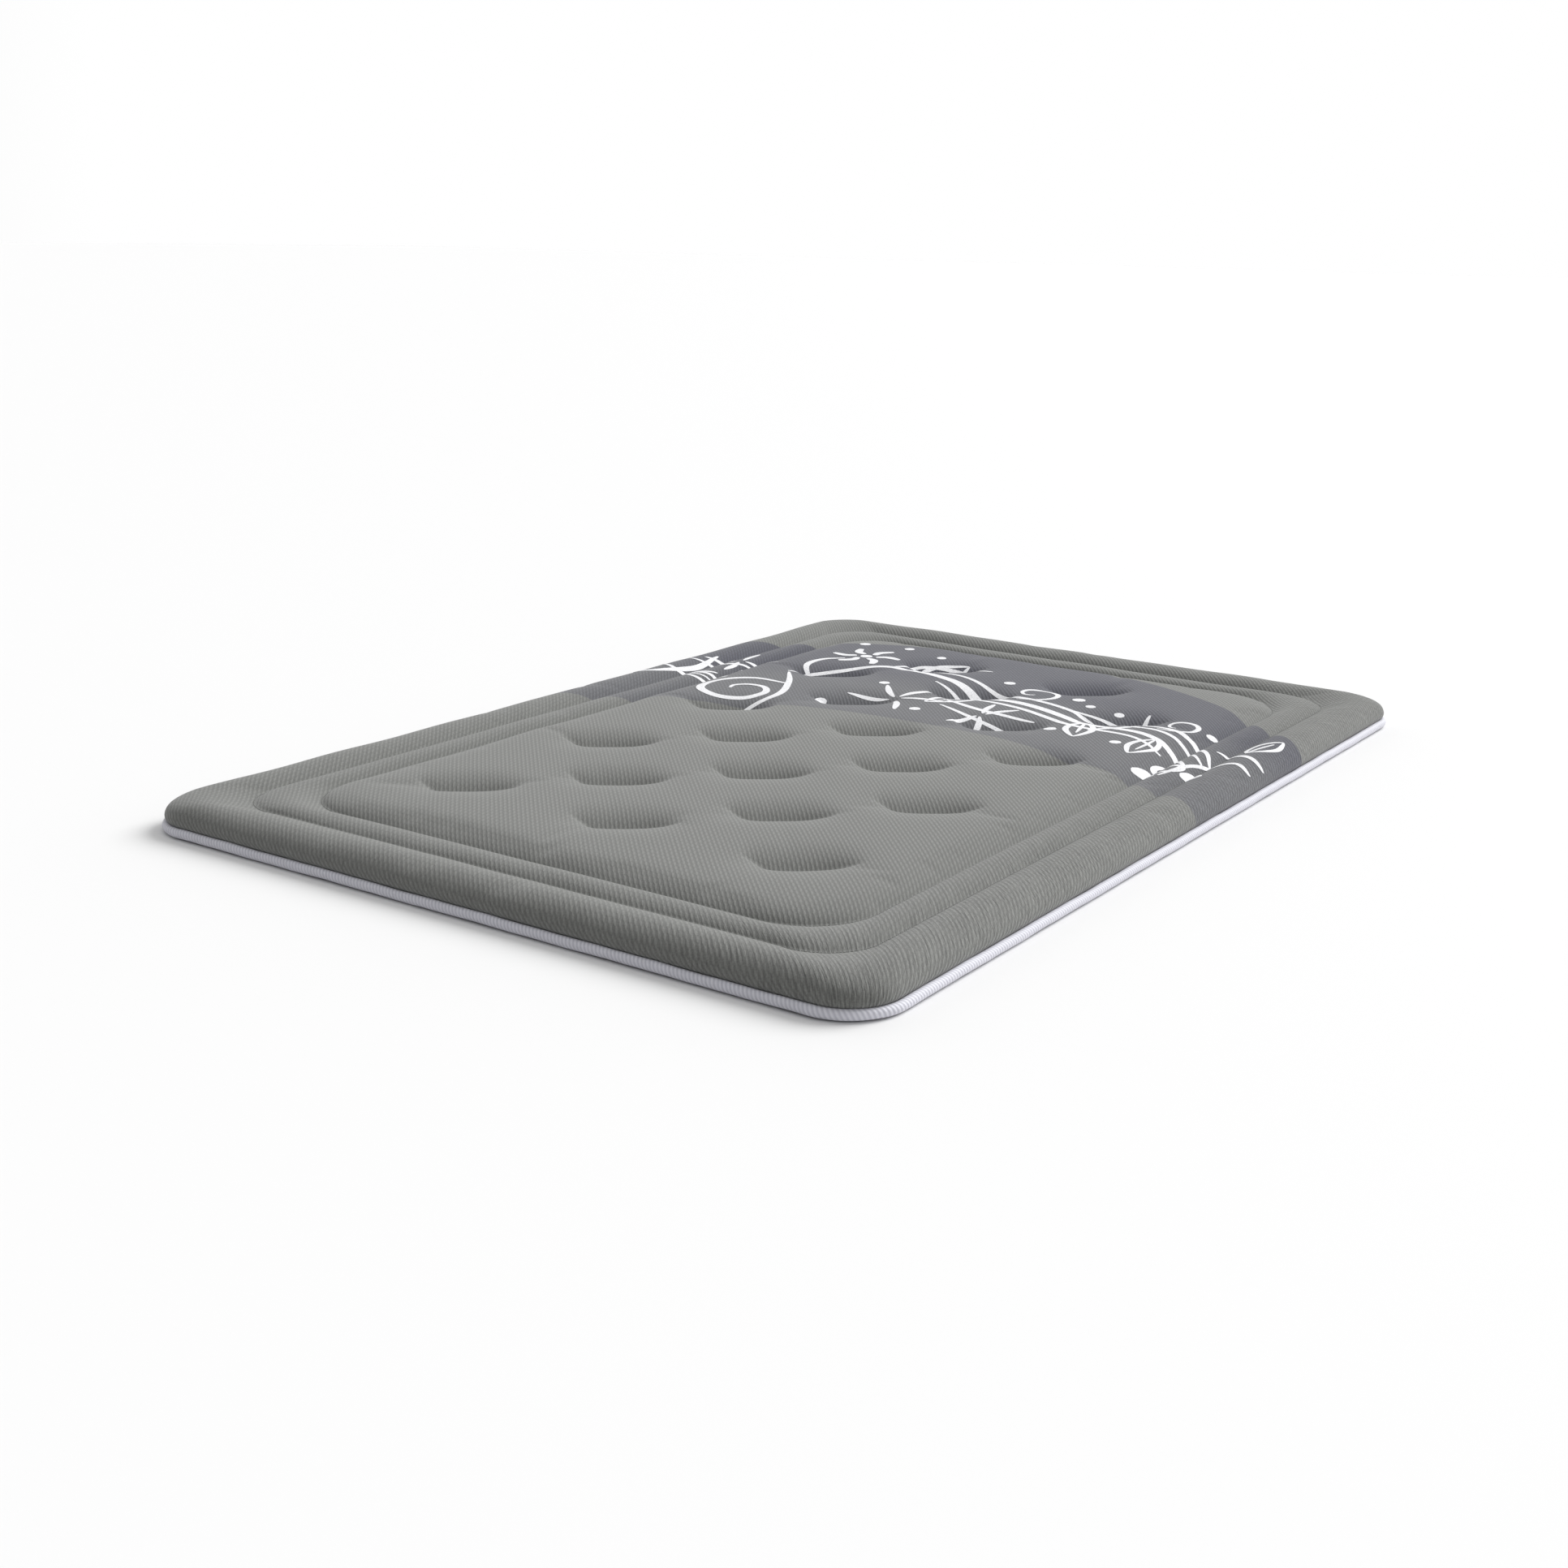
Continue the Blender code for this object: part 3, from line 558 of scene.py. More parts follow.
def stroke(points, width, closed=False, blunt=0.25):
    """A flat ribbon along a curve: rows of five points. It is widest in the middle and narrows to blunt
    times that at its ends, and a closed one keeps one width."""
    line = smooth_curve(points, closed)
    ahead = np.gradient(line, axis=0)
    if closed:
        ahead[0] = ahead[-1] = line[1] - line[-2]
    ahead /= np.linalg.norm(ahead, axis=1, keepdims=True)
    share = np.linspace(0, 1, len(line))
    wide = width / 2 * (1 if closed else blunt + (1 - blunt) * np.sin(math.pi * share) ** 0.6)
    aside = np.column_stack([-ahead[:, 1], ahead[:, 0]]) * np.broadcast_to(wide, len(line))[:, None]
    return line[:, None, :] + aside[:, None, :] * ACROSS[None, :, None]


def turned_by(points, centre, angle, size=1.0):
    """Points drawn round (0, 0), sized, turned by angle in degrees and moved to centre."""
    c, s = math.cos(math.radians(angle)) * size, math.sin(math.radians(angle)) * size
    return np.asarray(points, float) @ np.array([[c, s], [-s, c]]) + np.asarray(centre, float)


def leaf(centre, angle, length, width=0.005):
    """An open leaf: a pointed loop with a vein."""
    half = np.array([[0, 0], [0.25, 0.16], [0.55, 0.20], [0.85, 0.09], [1, 0]]) * length
    lower = half * [1, -1]
    return [
        stroke(turned_by(half, centre, angle), width),
        stroke(turned_by(lower, centre, angle), width),
        stroke(turned_by(half * [0.75, 0.05], centre, angle), width * 0.6),
    ]


def ring(centre, radius, width=0.006, flat=1.0):
    angles = np.linspace(0, 2 * math.pi, 12, endpoint=False)
    circle = np.column_stack([np.cos(angles), np.sin(angles) * flat]) * radius
    return stroke(circle + centre, width, closed=True)


def dot(centre, radius):
    """A filled spot: a ribbon whose half width follows a half circle."""
    share = np.linspace(-1, 1, 9)
    half = radius * np.sqrt(np.clip(1 - share**2, 0.02, 1))
    line = np.column_stack([share * radius, 0 * share])[:, None, :]
    aside = np.stack([0 * half[:, None] * ACROSS, half[:, None] * ACROSS], axis=-1)
    return line + aside + centre


def fan(centre, angles, length, width=0.006):
    """Tapered rays from one point."""
    rays = []
    for angle in angles:
        ray = [[0.12, 0], [0.5, 0.04], [1, 0]]
        rays.append(stroke(turned_by(ray, centre, angle, length), width, blunt=0.15))
    return rays


def tendril(centre, start, end, radius, width):
    """A spiral that winds in from radius to a fifth of it, between two angles in degrees."""
    angles = np.radians(np.linspace(start, end, 11))
    reach = radius * np.linspace(1, 0.22, 11)[:, None]
    return stroke(np.column_stack([np.cos(angles), np.sin(angles)]) * reach + centre, width)


# Three stems cross the slate field side by side, from the left inner roll to the right one. Tendrils,
# leaves, rays, dots and a six-petalled flower stand along them, and sprigs lie on the rolls at both sides.
stem = np.array([[-0.40, 0.40], [-0.25, 0.56], [-0.10, 0.53], [0.02, 0.46], [0.15, 0.43], [0.28, 0.38],
                 [0.40, 0.37], [0.49, 0.30], [0.55, 0.22]])
strokes = [
    stroke(stem, 0.020),
    stroke(stem[1:] + [0.014, 0.040], 0.012),
    stroke(stem[2:8] - [0.006, 0.034], 0.013),
    stroke([[0.20, 0.45], [0.32, 0.45], [0.44, 0.43], [0.53, 0.35], [0.575, 0.27]], 0.012),
    stroke([[-0.36, 0.42], [-0.40, 0.47], [-0.40, 0.53], [-0.37, 0.57]], 0.013),
    stroke([[-0.25, 0.56], [-0.21, 0.63], [-0.14, 0.66], [-0.06, 0.65]], 0.012),
    tendril((-0.375, 0.20), 60, 560, 0.105, 0.017),
    stroke([[-0.31, 0.09], [-0.29, 0.20], [-0.33, 0.30], [-0.39, 0.39]], 0.014),
    tendril((0.10, 0.53), -100, 300, 0.060, 0.011),
    tendril((0.43, 0.47), -120, 260, 0.050, 0.010),
    stroke([[-0.02, 0.38], [0.08, 0.34], [0.20, 0.335]], 0.014),
    stroke([[0.00, 0.33], [0.10, 0.285], [0.22, 0.28]], 0.011),
    stroke([[0.31, 0.33], [0.36, 0.42], [0.35, 0.52]], 0.012),
    stroke([[-0.645, 0.20], [-0.61, 0.24], [-0.585, 0.33], [-0.60, 0.43]], 0.015),
    stroke([[-0.64, 0.29], [-0.58, 0.28], [-0.52, 0.32]], 0.012),
    stroke([[-0.63, 0.37], [-0.57, 0.38], [-0.50, 0.43]], 0.011),
    stroke([[0.53, 0.15], [0.555, 0.24], [0.61, 0.28], [0.655, 0.25]], 0.014),
    stroke([[0.55, 0.36], [0.61, 0.34], [0.66, 0.30]], 0.012),
    ring((0.525, 0.205), 0.024, 0.012),
    dot((-0.345, 0.615), 0.013),
    *(stroke(turned_by([[0.022, 0], [0.045, 0.010], [0.075, 0]], (-0.345, 0.615), angle), 0.017, blunt=0.5)
      for angle in range(10, 370, 60)),
    *leaf((-0.20, 0.575), 60, 0.13, 0.012),
    *leaf((0.02, 0.45), -115, 0.13, 0.012),
    *leaf((0.28, 0.385), -75, 0.12, 0.012),
    *leaf((0.44, 0.345), -90, 0.12, 0.011),
    *leaf((-0.57, 0.27), 10, 0.10, 0.010),
    *leaf((0.60, 0.37), 75, 0.11, 0.010),
    *fan((-0.10, 0.33), (15, 75, 130, 190, 300), 0.10, 0.013),
    *fan((0.10, 0.31), (60, 100, 250, 290), 0.085, 0.012),
    *fan((-0.54, 0.43), (20, 95, 200, 280), 0.080, 0.012),
    *(dot(spot, size) for spot, size in (
        ((-0.415, 0.722), 0.012), ((-0.31, 0.735), 0.011), ((-0.21, 0.70), 0.010), ((-0.50, 0.36), 0.011),
        ((0.02, 0.575), 0.012), ((0.194, 0.533), 0.013), ((0.235, 0.50), 0.010), ((0.30, 0.49), 0.010),
        ((0.50, 0.46), 0.011), ((-0.02, 0.27), 0.011), ((-0.18, 0.42), 0.011), ((0.50, 0.155), 0.020),
        ((0.575, 0.185), 0.019), ((0.25, 0.30), 0.012), ((-0.22, 0.25), 0.012), ((0.39, 0.28), 0.011),
    )),
]


def strips(all_strokes):
    """Points and faces of every ribbon, flat at one height above the quilt."""
    points, faces, base = [], [], 0
    for rows_of_five in all_strokes:
        count = len(rows_of_five)
        index = base + np.arange(count * len(ACROSS)).reshape(count, -1)
        faces.append(np.stack([index[:-1, :-1], index[1:, :-1], index[1:, 1:], index[:-1, 1:]], axis=-1).reshape(-1, 4))
        points.append(rows_of_five.reshape(-1, 2))
        base += index.size
    points = np.concatenate(points)
    return np.column_stack([points, np.full(len(points), 0.09)]), np.concatenate(faces)


def laid_on_top(thing, axis, lift):
    """Project a mesh straight onto the quilted top, down for axis Z or towards +X for axis X."""
    wrap = thing.modifiers.new("laid", "SHRINKWRAP")
    wrap.target = quilted_top
    wrap.wrap_method = "PROJECT"
    wrap.use_project_x, wrap.use_project_z = axis == "X", axis == "Z"
    wrap.use_negative_direction, wrap.use_positive_direction = axis == "Z", axis == "X"
    wrap.offset = lift
    thing.data = baked(thing)
    thing.modifiers.clear()


print_points, print_faces = strips(strokes)
ornament = new_object("printed_ornament", new_mesh("printed_ornament", print_points, print_faces))
laid_on_top(ornament, "Z", PRINT_LIFT)
# Where strokes cross, the later one lies a few hundredths of a millimetre higher.
order = np.repeat(np.arange(len(strokes)) % 9, [item.shape[0] * item.shape[1] for item in strokes])
print_points = positions(ornament.data)
print_points[:, 2] += order * 0.00005
ornament.data.vertices.foreach_set("co", print_points.astype(np.float32).ravel())
ink_body = ornament.modifiers.new("ink", "SOLIDIFY")
ink_body.thickness = PRINT_THICKNESS
ink_body.offset = -1
ornament.data = baked(ornament)
ornament.modifiers.clear()
ornament.data.set_sharp_from_angle(angle=math.radians(40))

# Water-based pigment ink: matt, white, and broken a little where the yarn shows through.
ink, tree, shader = new_material("white_pigment_ink", "ECECEE", 0.75)
place = add_node(tree, "TexCoord").outputs["Object"]
worn = add_node(tree, "TexNoise", {"Vector": place}, {"Scale": 420.0, "Detail": 3.0}).outputs["Fac"]
tint = add_node(tree, "ValToRGB", {"Fac": worn})
tint.color_ramp.elements[0].position = 0.32
tint.color_ramp.elements[0].color = linear("CDCED2")
tint.color_ramp.elements[1].position = 0.55
tint.color_ramp.elements[1].color = linear("F0F0F2")
tree.links.new(tint.outputs["Color"], shader.inputs["Base Color"])
relief = add_node(tree, "Bump", {"Height": worn}, {"Strength": 0.4, "Distance": 0.0005})
tree.links.new(relief.outputs["Normal"], shader.inputs["Normal"])
set_material(ornament, ink)
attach(ornament, "mattress")

# ---- Quilt wadding ----
# A bat of carded and heat-set polyester fibre under the top. It fills the rolls and thins at the seams
# and tufts, where the stitches squash it.
WADDING_GAP = 0.0016
WADDING_FLOOR = 0.0320
trimmed = bmesh.new()
trimmed.from_mesh(wadding_mesh)
low_faces = [face for face in trimmed.faces if max(vert.co.z for vert in face.verts) < WADDING_FLOOR + 0.0030
             and max(abs(face.calc_center_median().x) - half_x, abs(face.calc_center_median().y) - half_y) > -0.04]
bmesh.ops.delete(trimmed, geom=low_faces, context="FACES")
trimmed.normal_update()
for vert in trimmed.verts:
    vert.co -= vert.normal * WADDING_GAP
    vert.co.z = max(vert.co.z, WADDING_FLOOR + 0.0002)
trimmed.to_mesh(wadding_mesh)
trimmed.free()
closed_below(wadding_mesh, ((0.0010, WADDING_FLOOR),))
wadding = new_object("fibre_wadding", wadding_mesh)
fibre, tree, shader = new_material("polyester_fibre", "F5F5F3", 0.95, Sheen_Weight=0.3, Sheen_Roughness=0.7)
place = add_node(tree, "TexCoord").outputs["Object"]
strands = add_node(tree, "TexNoise", {"Vector": place}, {"Scale": 260.0, "Detail": 6.0, "Distortion": 1.5}).outputs["Fac"]
tint = add_node(tree, "ValToRGB", {"Fac": strands})
tint.color_ramp.elements[0].color = linear("DADAD6")
tint.color_ramp.elements[1].color = linear("FAFAF8")
tree.links.new(tint.outputs["Color"], shader.inputs["Base Color"])
fluff = add_node(tree, "Bump", {"Height": strands}, {"Strength": 0.7, "Distance": 0.001})
tree.links.new(fluff.outputs["Normal"], shader.inputs["Normal"])
set_material(wadding, fibre)
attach(wadding, "mattress")
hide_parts("quilt_wadding")

# ---- Piping ----
# A ribbed tape, woven white, folded round the cord and sewn close to it, so that its two edges make a
# flange inside the seam. Its ribs lie slanted, because the tape is cut on the bias.
PIPE_RADIUS = 0.0075
PIPE_INSET = 0.0075
PIPE_CORNER = 0.085
tape_low, tape_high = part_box("piping_tape")
pipe_height = (tape_low.z + tape_high.z) / 2


def path_round(inset, corner, count):
    """count points evenly spaced round the mattress at this inset, closed, with their outward normals."""
    wide, long = half_x - inset - corner, half_y - inset - corner
    lengths = np.array([2 * wide, corner * math.pi / 2, 2 * long, corner * math.pi / 2] * 2)
    starts = np.concatenate([[0], np.cumsum(lengths)])
    place = np.arange(count) * starts[-1] / count
    leg = np.searchsorted(starts, place, side="right") - 1
    share = (place - starts[leg]) / lengths[leg]
    base = (leg // 2) * math.pi / 2 - math.pi / 2
    angle = base + np.where(leg % 2, share, 0) * math.pi / 2
    normal = np.column_stack([np.cos(angle), np.sin(angle)])
    tangent = np.column_stack([-np.sin(angle), np.cos(angle)])
    centre_x = np.array([1, 1, -1, -1])[leg // 2] * wide
    centre_y = np.array([-1, 1, 1, -1])[leg // 2] * long
    back = np.where(leg % 2, 0, (1 - share) * lengths[leg])
    path = np.column_stack([centre_x, centre_y]) + normal * corner - tangent * back[:, None]
    return path, normal, place, starts[-1]


def closed_tube(rings_of_points):
    """Faces of a tube that closes on itself both ways, for points in (rings, sides) order."""
    count, sides = rings_of_points.shape[:2]
    index = np.arange(count * sides).reshape(count, sides)
    ahead = np.roll(index, -1, axis=0)
    faces = np.stack([index, ahead, np.roll(ahead, -1, axis=1), np.roll(index, -1, axis=1)], axis=-1)
    return faces.reshape(-1, 4)


def add_uv(mesh, name, uv):
    """uv holds one pair for each corner of each face."""
    mesh.uv_layers.new(name=name).data.foreach_set("uv", np.ascontiguousarray(uv, np.float32).ravel())


PIPE_STEPS = 900
path, normal, place, _ = path_round(PIPE_INSET, PIPE_CORNER, PIPE_STEPS)
angle = np.linspace(-0.93 * math.pi, 0.93 * math.pi, 22)
cut = np.concatenate([
    [[-0.0138, -0.0009]],
    PIPE_RADIUS * np.column_stack([np.cos(angle), np.sin(angle)]),
    [[-0.0138, 0.0009]],
])
wander = 0.0003 * np.sin(place * 23) + 0.0002 * np.sin(place * 61 + 1)
thickness = 1 + 0.015 * np.sin(place * 47 + 2) + 0.01 * np.sin(place * 130)
out = cut[None, :, 0] * thickness[:, None]
pipe = np.empty((PIPE_STEPS, len(cut), 3))
pipe[..., :2] = path[:, None, :] + normal[:, None, :] * out[..., None]
pipe[..., 2] = pipe_height + wander[:, None] + cut[None, :, 1] * thickness[:, None]
pipe_mesh = new_mesh("piping", pipe.reshape(-1, 3), closed_tube(pipe))
round_cut = np.concatenate([[0], np.cumsum(np.hypot(*np.diff(np.concatenate([cut, cut[:1]]), axis=0).T))])
step = np.arange(PIPE_STEPS)[:, None] * place[1]
far = np.broadcast_to(step + place[1], (PIPE_STEPS, len(cut)))
near = np.broadcast_to(step, (PIPE_STEPS, len(cut)))
low = np.broadcast_to(round_cut[:-1], near.shape)
high = np.broadcast_to(round_cut[1:], near.shape)
add_uv(pipe_mesh, "tape", np.stack([near, low, far, low, far, high, near, high], axis=-1))
piping = new_object("piping", pipe_mesh)

TAPE_RIB = 0.0058
tape, tree, shader = new_material("bias_cut_ribbed_tape", "E2E2EA", 0.6, Sheen_Weight=0.2, Sheen_Roughness=0.4)
tape_map = add_node(tree, "UVMap", uv_map="tape")
slant = add_node(tree, "Mapping", {"Vector": tape_map.outputs["UV"]}, {"Rotation": (0, 0, math.radians(-25))})
wave = {"Scale": math.pi / (10 * TAPE_RIB), "Distortion": 0.3, "Detail": 1.0}
ribs = add_node(tree, "TexWave", {"Vector": slant.outputs["Vector"]}, wave, bands_direction="X").outputs["Fac"]
tint = add_node(tree, "ValToRGB", {"Fac": ribs})
tint.color_ramp.elements[0].color = linear("C4C4CE")
tint.color_ramp.elements[1].color = linear("DEDEE6")
tree.links.new(tint.outputs["Color"], shader.inputs["Base Color"])
relief = add_node(tree, "Bump", {"Height": ribs}, {"Strength": 0.7, "Distance": 0.0006})
tree.links.new(relief.outputs["Normal"], shader.inputs["Normal"])
set_material(piping, tape)
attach(piping, "mattress")
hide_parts("piping_tape")

# ---- Seam threads and tufts ----
# Grey polyester thread. The two quilting seams are lock stitches in the bottom of their valleys, and
# each tuft is a short bar of zigzag stitches.
STITCH_PITCH, STITCH_LENGTH = 0.0050, 0.0042
THREAD_RADIUS = 0.00045
SEAM_HEIGHTS = {"outer_quilt_thread": (0.100, 0.090, 0.0382), "inner_quilt_thread": (0.165, 0.120, 0.0365)}


def tube(centres, radii, up, sides=6):
    """Tubes round lines of centres: (tubes, steps, 3) points, radii (steps), and an up direction. The
    first and last rings take the radii given, and each is closed by one face."""
    ahead = np.gradient(centres, axis=1)
    ahead /= np.linalg.norm(ahead, axis=2, keepdims=True)
    aside = np.cross(ahead, np.broadcast_to(up, ahead.shape))
    aside /= np.linalg.norm(aside, axis=2, keepdims=True)
    above = np.cross(aside, ahead)
    angles = 2 * math.pi * np.arange(sides) / sides
    spread = aside[:, :, None] * np.cos(angles)[:, None] + above[:, :, None] * np.sin(angles)[:, None]
    points = centres[:, :, None] + spread * radii[None, :, None, None]
    tubes, steps = centres.shape[:2]
    index = np.arange(tubes * steps * sides).reshape(tubes, steps, sides)
    beside = np.roll(index, -1, axis=2)
    faces = np.stack([index[:, :-1], beside[:, :-1], beside[:, 1:], index[:, 1:]], axis=-1).reshape(-1, 4)
    caps = [index[:, 0, ::-1].tolist(), index[:, -1].tolist()]
    mesh = bpy.data.meshes.new("tube")
    mesh.from_pydata(points.reshape(-1, 3).tolist(), [], faces.tolist() + caps[0] + caps[1])
    mesh.shade_smooth()
    return mesh


share = np.linspace(-1, 1, 5)
for name, (inset, corner, height) in SEAM_HEIGHTS.items():
    length = path_round(inset, corner, 1)[3]
    count = round(length / STITCH_PITCH)
    path, normal, _, _ = path_round(inset, corner, count)
    tangent = np.column_stack([-normal[:, 1], normal[:, 0]])
    lines = path[:, None, :] + tangent[:, None, :] * share[None, :, None] * STITCH_LENGTH / 2
    rise = np.broadcast_to(height + 0.0002 + 0.0006 * (1 - share**2), lines.shape[:2])
    centres = np.concatenate([lines, rise[..., None]], axis=2)
    thread = new_object(name + "_stitches", tube(centres, THREAD_RADIUS * (0.35 + 0.65 * (1 - share**4)), (0, 0, 1.0)))
    set_material(thread, seam_thread)
    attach(thread, "mattress")
    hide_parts(name)

# A bar is 14 mm long. Its thread crosses it 16 times and lies on the bottom of its dimple.
BAR_HALF_LENGTH, BAR_HALF_WIDTH, CROSSINGS = 0.007, 0.0013, 16
sweep = np.linspace(-1, 1, 8 * CROSSINGS + 1)
bar_x = sweep * BAR_HALF_LENGTH
bar_y = BAR_HALF_WIDTH * np.sin(sweep * math.pi * CROSSINGS / 2)
cos_turn, sin_turn = math.cos(TUFT_TURN), math.sin(TUFT_TURN)
for name, centre in zip(tuft_names, tufts):
    flat_bar = np.column_stack([
        centre[0] + bar_x * cos_turn - bar_y * sin_turn,
        centre[1] + bar_x * sin_turn + bar_y * cos_turn,
        np.full(len(sweep), 0.09),
    ])
    marks = bpy.data.meshes.new("marks")
    marks.from_pydata(flat_bar.tolist(), [], [])
    marker = new_object("marks", marks)
    laid_on_top(marker, "Z", 0.0004)
    centres = positions(marker.data)[None]
    bpy.data.objects.remove(marker)
    radii = 0.0004 * (1 - 0.6 * abs(sweep) ** 12)
    bar = new_object(name + "_bar", tube(centres, radii, (0, 0, 1.0), sides=5))
    set_material(bar, seam_thread)
    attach(bar, "mattress")
    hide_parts(name)

# ---- Underside ----
# A single layer of white warp-knitted polyester, cut to the outline and sewn to the piping's flange. The
# foam's weight presses it flat, and its edge curls up to the seam.
BASE_PROFILE = ((0.090, 0.0010), (0.045, 0.0010), (0.030, 0.0011), (0.022, 0.0014), (0.0185, 0.0022),
                (0.0168, 0.0038), (0.0161, 0.0055), (0.0158, 0.0068))
base_profile = np.array(BASE_PROFILE)
base_rings = np.stack([outline(inset, 0.085 - inset * 0.2) for inset in base_profile[:, 0]])
base_middle = patch(base_rings[0]).reshape(-1, 2)
base_numbers = np.concatenate([[rim], rows * cols + np.arange((len(base_profile) - 1) * ring_steps).reshape(-1, ring_steps)])
base_turned = np.roll(base_numbers, -1, axis=1)
base_quads = np.stack([number[:-1, :-1], number[:-1, 1:], number[1:, 1:], number[1:, :-1]], axis=-1).reshape(-1, 4)
base_belts = np.stack([base_numbers[:-1], base_numbers[1:], base_turned[1:], base_turned[:-1]], axis=-1).reshape(-1, 4)
x, y = base_middle.T
slack = 0.00018 * (np.sin(31 * x + 17 * y) * np.sin(9 * x - 23 * y) + np.sin(60 * x - 21 * y) * np.sin(13 * y))
base_points = np.concatenate([
    np.column_stack([base_middle, base_profile[0, 1] + slack]),
    np.column_stack([base_rings[1:].reshape(-1, 2), np.repeat(base_profile[1:, 1], ring_steps)]),
])
base = new_object("knitted_underside", new_mesh("knitted_underside", base_points, np.concatenate([base_quads, base_belts])))
thick = base.modifiers.new("cloth", "SOLIDIFY")
thick.thickness = 0.0006
thick.offset = -1
base.data = baked(base)
base.modifiers.clear()
set_material(base, woven_material("white_warp_knit", "E9E9E7", "BFC0BE", 0.0034, depth=0.0006))
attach(base, "mattress")
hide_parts("bottom_panel")

# ---- Care label ----
# A blank strip of white satin, sewn into the edge seam at its lower edge, standing up against the cover.
label_low, label_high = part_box("care_label")
label_y, label_z = np.meshgrid(
    np.linspace(label_low.y, label_high.y, 21), np.linspace(label_low.z + 0.0004, label_high.z - 0.0010, 15)
)
label_points = np.column_stack([np.full(label_y.size, -half_x - 0.01), label_y.ravel(), label_z.ravel()])
index = np.arange(label_y.size).reshape(label_y.shape)
label_faces = np.stack([index[:-1, :-1], index[1:, :-1], index[1:, 1:], index[:-1, 1:]], axis=-1).reshape(-1, 4)
label = new_object("care_label_strip", new_mesh("care_label_strip", label_points, label_faces))
laid_on_top(label, "X", 0.0002)
label_points = positions(label.data)
label_points[:, 0] -= 0.0004 + 0.0004 * np.sin(label_points[:, 1] * 300) * smooth_step(label_points[:, 2], 0.024, 0.043)
label.data.vertices.foreach_set("co", label_points.astype(np.float32).ravel())
thick = label.modifiers.new("satin", "SOLIDIFY")
thick.thickness = 0.0003
label.data = baked(label)
label.modifiers.clear()
set_material(label, woven_material("white_satin", "F6F6F6", "E4E4E6", 0.0008, roughness=0.35, sheen=0.1))
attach(label, "mattress")
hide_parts("care_label")

# ---- Zip ----
# A nylon coil zip across the head end: two woven tapes, a coil sewn to the edge of each, two stops, and
# a nickel-plated slider with its pull.
COIL_PITCH = 0.0020
COIL_STEPS = 8
WIRE_RADIUS = 0.0003
zip_grey = woven_material("woven_zip_tape", "7E7F7B", "626360", 0.0012, depth=0.0002)
for name in ("zip_tape_upper", "zip_tape_lower"):
    low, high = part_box(name)
    x, z = np.meshgrid(np.linspace(low.x, high.x, 381), np.linspace(low.z, high.z, 7))
    wave = 0.00015 * np.sin(x * 41 + z * 300) * (1 - abs(x / high.x) ** 8)
    y = (low.y + high.y) / 2 + wave
    index = np.arange(x.size).reshape(x.shape)
    faces = np.stack([index[:-1, :-1], index[1:, :-1], index[1:, 1:], index[:-1, 1:]], axis=-1).reshape(-1, 4)
    strip = new_object(name.replace("zip_tape", "woven_tape"), new_mesh(name, np.column_stack([x.ravel(), y.ravel(), z.ravel()]), faces))
    thick = strip.modifiers.new("tape", "SOLIDIFY")
    thick.thickness = 0.0007
    thick.offset = 0
    strip.data = baked(strip)
    strip.modifiers.clear()
    set_material(strip, zip_grey)
    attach(strip, "mattress")
    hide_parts(name)

nylon, tree, shader = new_material("nylon_monofilament_coil", "8A8B87", 0.35)
place = add_node(tree, "TexCoord").outputs["Object"]
scuff = add_node(tree, "TexNoise", {"Vector": place}, {"Scale": 900.0, "Detail": 2.0}).outputs["Fac"]
tint = add_node(tree, "ValToRGB", {"Fac": scuff})
tint.color_ramp.elements[0].color = linear("777874")
tint.color_ramp.elements[1].color = linear("9A9B97")
tree.links.new(tint.outputs["Color"], shader.inputs["Base Color"])
chain_low, chain_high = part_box("zip_chain_upper")
middle_z = (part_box("zip_chain_lower")[1].z + chain_low.z) / 2
turns = int((chain_high.x - chain_low.x) / COIL_PITCH) - 1
for name, way in (("zip_chain_upper", 1), ("zip_chain_lower", -1)):
    # An ellipse carried along the zip. The two coils are half a turn apart, so their loops pass by.
    turn = np.linspace(0, turns, turns * COIL_STEPS + 1)
    angle = 2 * math.pi * turn
    centres = np.column_stack([
        chain_low.x + COIL_PITCH * (turn + (0.75 if way > 0 else 0.25)),
        (chain_low.y + chain_high.y) / 2 + 0.0008 * np.sin(angle),
        middle_z + way * (0.0013 - 0.0013 * np.cos(angle)),
    ])
    coil = new_object(name.replace("zip_chain", "nylon_coil"), tube(centres[None], np.full(len(turn), WIRE_RADIUS), (1.0, 0, 0), sides=4))
    set_material(coil, nylon)
    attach(coil, "mattress")
    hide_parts(name)

# Zinc, die cast and nickel plated: a soft mirror with fine handling scratches.
nickel, tree, shader = new_material("nickel_plated_zinc", "C6C4BF", 0.28, Metallic=1.0)
place = add_node(tree, "TexCoord").outputs["Object"]
scratch = add_node(tree, "TexNoise", {"Vector": place}, {"Scale": 1500.0, "Detail": 3.0}).outputs["Fac"]
dull = add_node(tree, "MapRange", {"Value": scratch}, {"To Min": 0.2, "To Max": 0.45}).outputs["Result"]
tree.links.new(dull, shader.inputs["Roughness"])
relief = add_node(tree, "Bump", {"Height": scratch}, {"Strength": 0.15, "Distance": 0.0001})
tree.links.new(relief.outputs["Normal"], shader.inputs["Normal"])
METAL_PIECES = {
    "zip_slider": ("slider", "slider_body", 0.0005),
    "zip_pull": ("pull", "slider_pull", 0.0003),
    "zip_stop_closed_end": ("mattress", "closed_end_stop", 0.0005),
    "zip_stop_open_end": ("mattress", "open_end_stop", 0.0005),
}
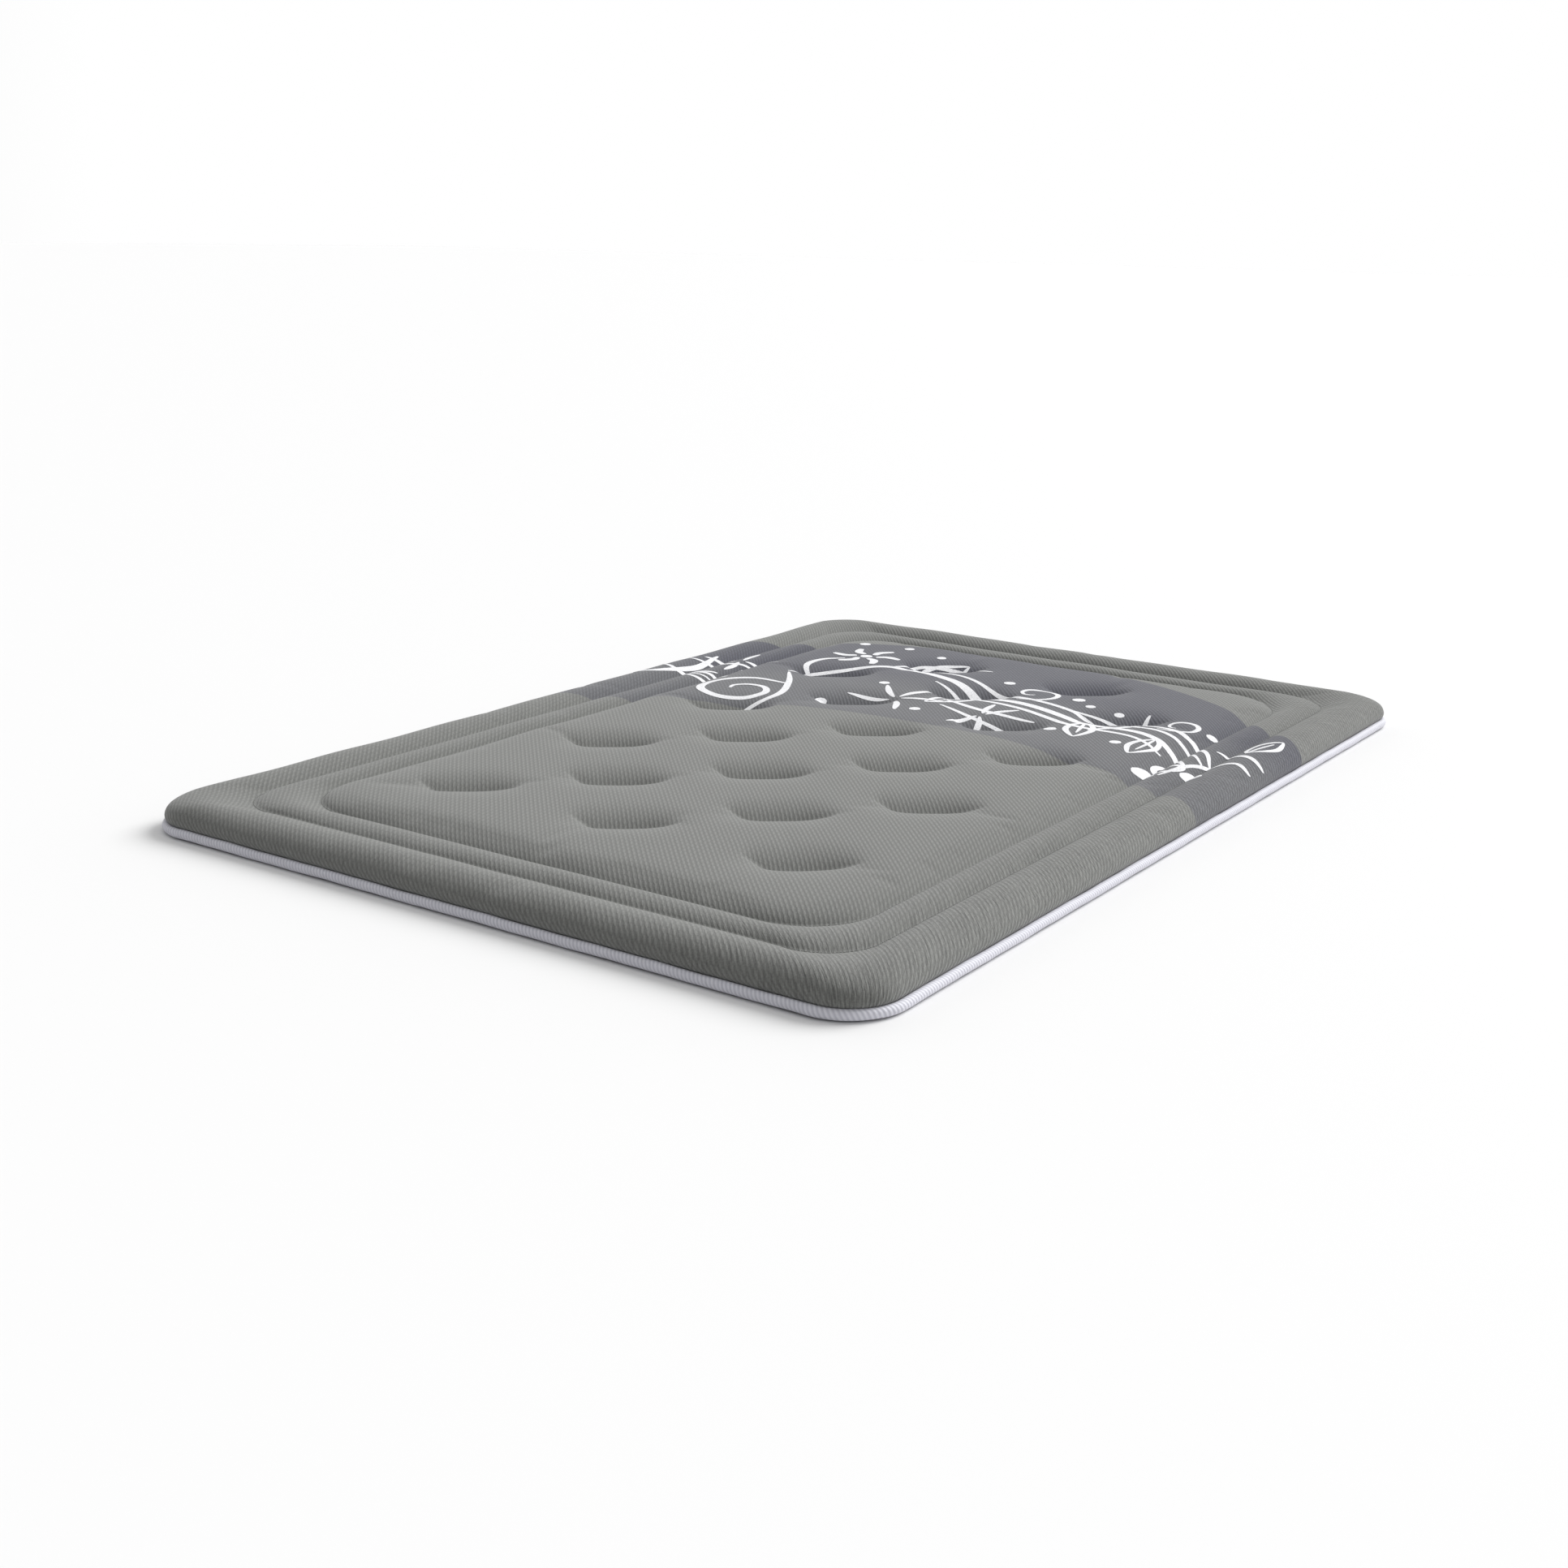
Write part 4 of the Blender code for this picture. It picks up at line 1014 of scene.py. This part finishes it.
for node, (body, name, rounding) in METAL_PIECES.items():
    cast = bmesh.new()
    cast.from_mesh(nodes[node].data)
    bmesh.ops.remove_doubles(cast, verts=cast.verts, dist=0.00002)
    bmesh.ops.dissolve_limit(cast, angle_limit=math.radians(1), verts=cast.verts, edges=cast.edges)
    mesh = bpy.data.meshes.new(name)
    cast.to_mesh(mesh)
    cast.free()
    piece = new_object(name, mesh)
    edge = piece.modifiers.new("rounded", "BEVEL")
    edge.width = rounding
    edge.segments = 3
    edge.limit_method = "ANGLE"
    piece.data = baked(piece)
    piece.modifiers.clear()
    piece.data.shade_smooth()
    set_material(piece, nickel)
    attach(piece, body)
    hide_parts(node)

# ---- Studio ----
# A plain pale floor and soft light: a wide low sun behind the head end, and a white sky that is darker
# towards the foot, as in a room with one bright wall.
floor_mesh = new_mesh(
    "floor",
    np.array([[-60, -60, 0], [60, -60, 0], [60, 60, 0], [-60, 60, 0]]) + np.array([0, 0, -0.0005]),
    np.array([[0, 1, 2, 3]]),
)
floor = new_object("floor", floor_mesh)
paint, tree, shader = new_material("pale_matt_floor", "EAEAEA", 0.9)
set_material(floor, paint)
floor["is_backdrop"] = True

world = bpy.data.worlds.new("studio")
world.use_nodes = True
tree = world.node_tree
towards = add_node(tree, "SeparateXYZ", {"Vector": add_node(tree, "TexCoord").outputs["Generated"]})
values = {"From Min": -0.9, "From Max": 0.6, "To Min": 0.22, "To Max": 1.0}
glow = add_node(tree, "MapRange", {"Value": towards.outputs["Y"]}, values).outputs["Result"]
tree.links.new(glow, tree.nodes["Background"].inputs["Strength"])
tree.nodes["Background"].inputs["Color"].default_value = (1, 1, 1, 1)
bpy.context.scene.world = world

lamp = bpy.data.lights.new("bright_wall", "SUN")
lamp.energy = 2.6
lamp.angle = math.radians(35)
sun = bpy.data.objects.new("bright_wall", lamp)
sun.rotation_mode = "QUATERNION"
sun.rotation_quaternion = Vector((-0.40, -1.0, -0.85)).to_track_quat("-Z", "Y")
bpy.context.scene.collection.objects.link(sun)
bpy.context.scene.view_settings.view_transform = "Standard"

# Camera: place, heading, tilt and lens.
HEADING, TILT, ROLL = math.radians(-34.17), math.radians(15.82), math.radians(1.18)
forward = np.array([math.sin(HEADING) * math.cos(TILT), math.cos(HEADING) * math.cos(TILT), -math.sin(TILT)])
level = np.array([math.cos(HEADING), -math.sin(HEADING), 0.0])
upward = np.cross(level, forward)
turned = np.column_stack([
    level * math.cos(ROLL) + upward * math.sin(ROLL),
    -level * math.sin(ROLL) + upward * math.cos(ROLL),
    -forward,
])
lens = bpy.data.cameras.new("camera")
lens.lens = 44.83
lens.sensor_width = 36
camera = bpy.data.objects.new("camera", lens)
camera.matrix_world = Matrix.Translation((1.799, -2.845, 0.9215)) @ Matrix(turned.tolist()).to_4x4()
bpy.context.scene.collection.objects.link(camera)
bpy.context.scene.camera = camera

low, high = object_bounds()
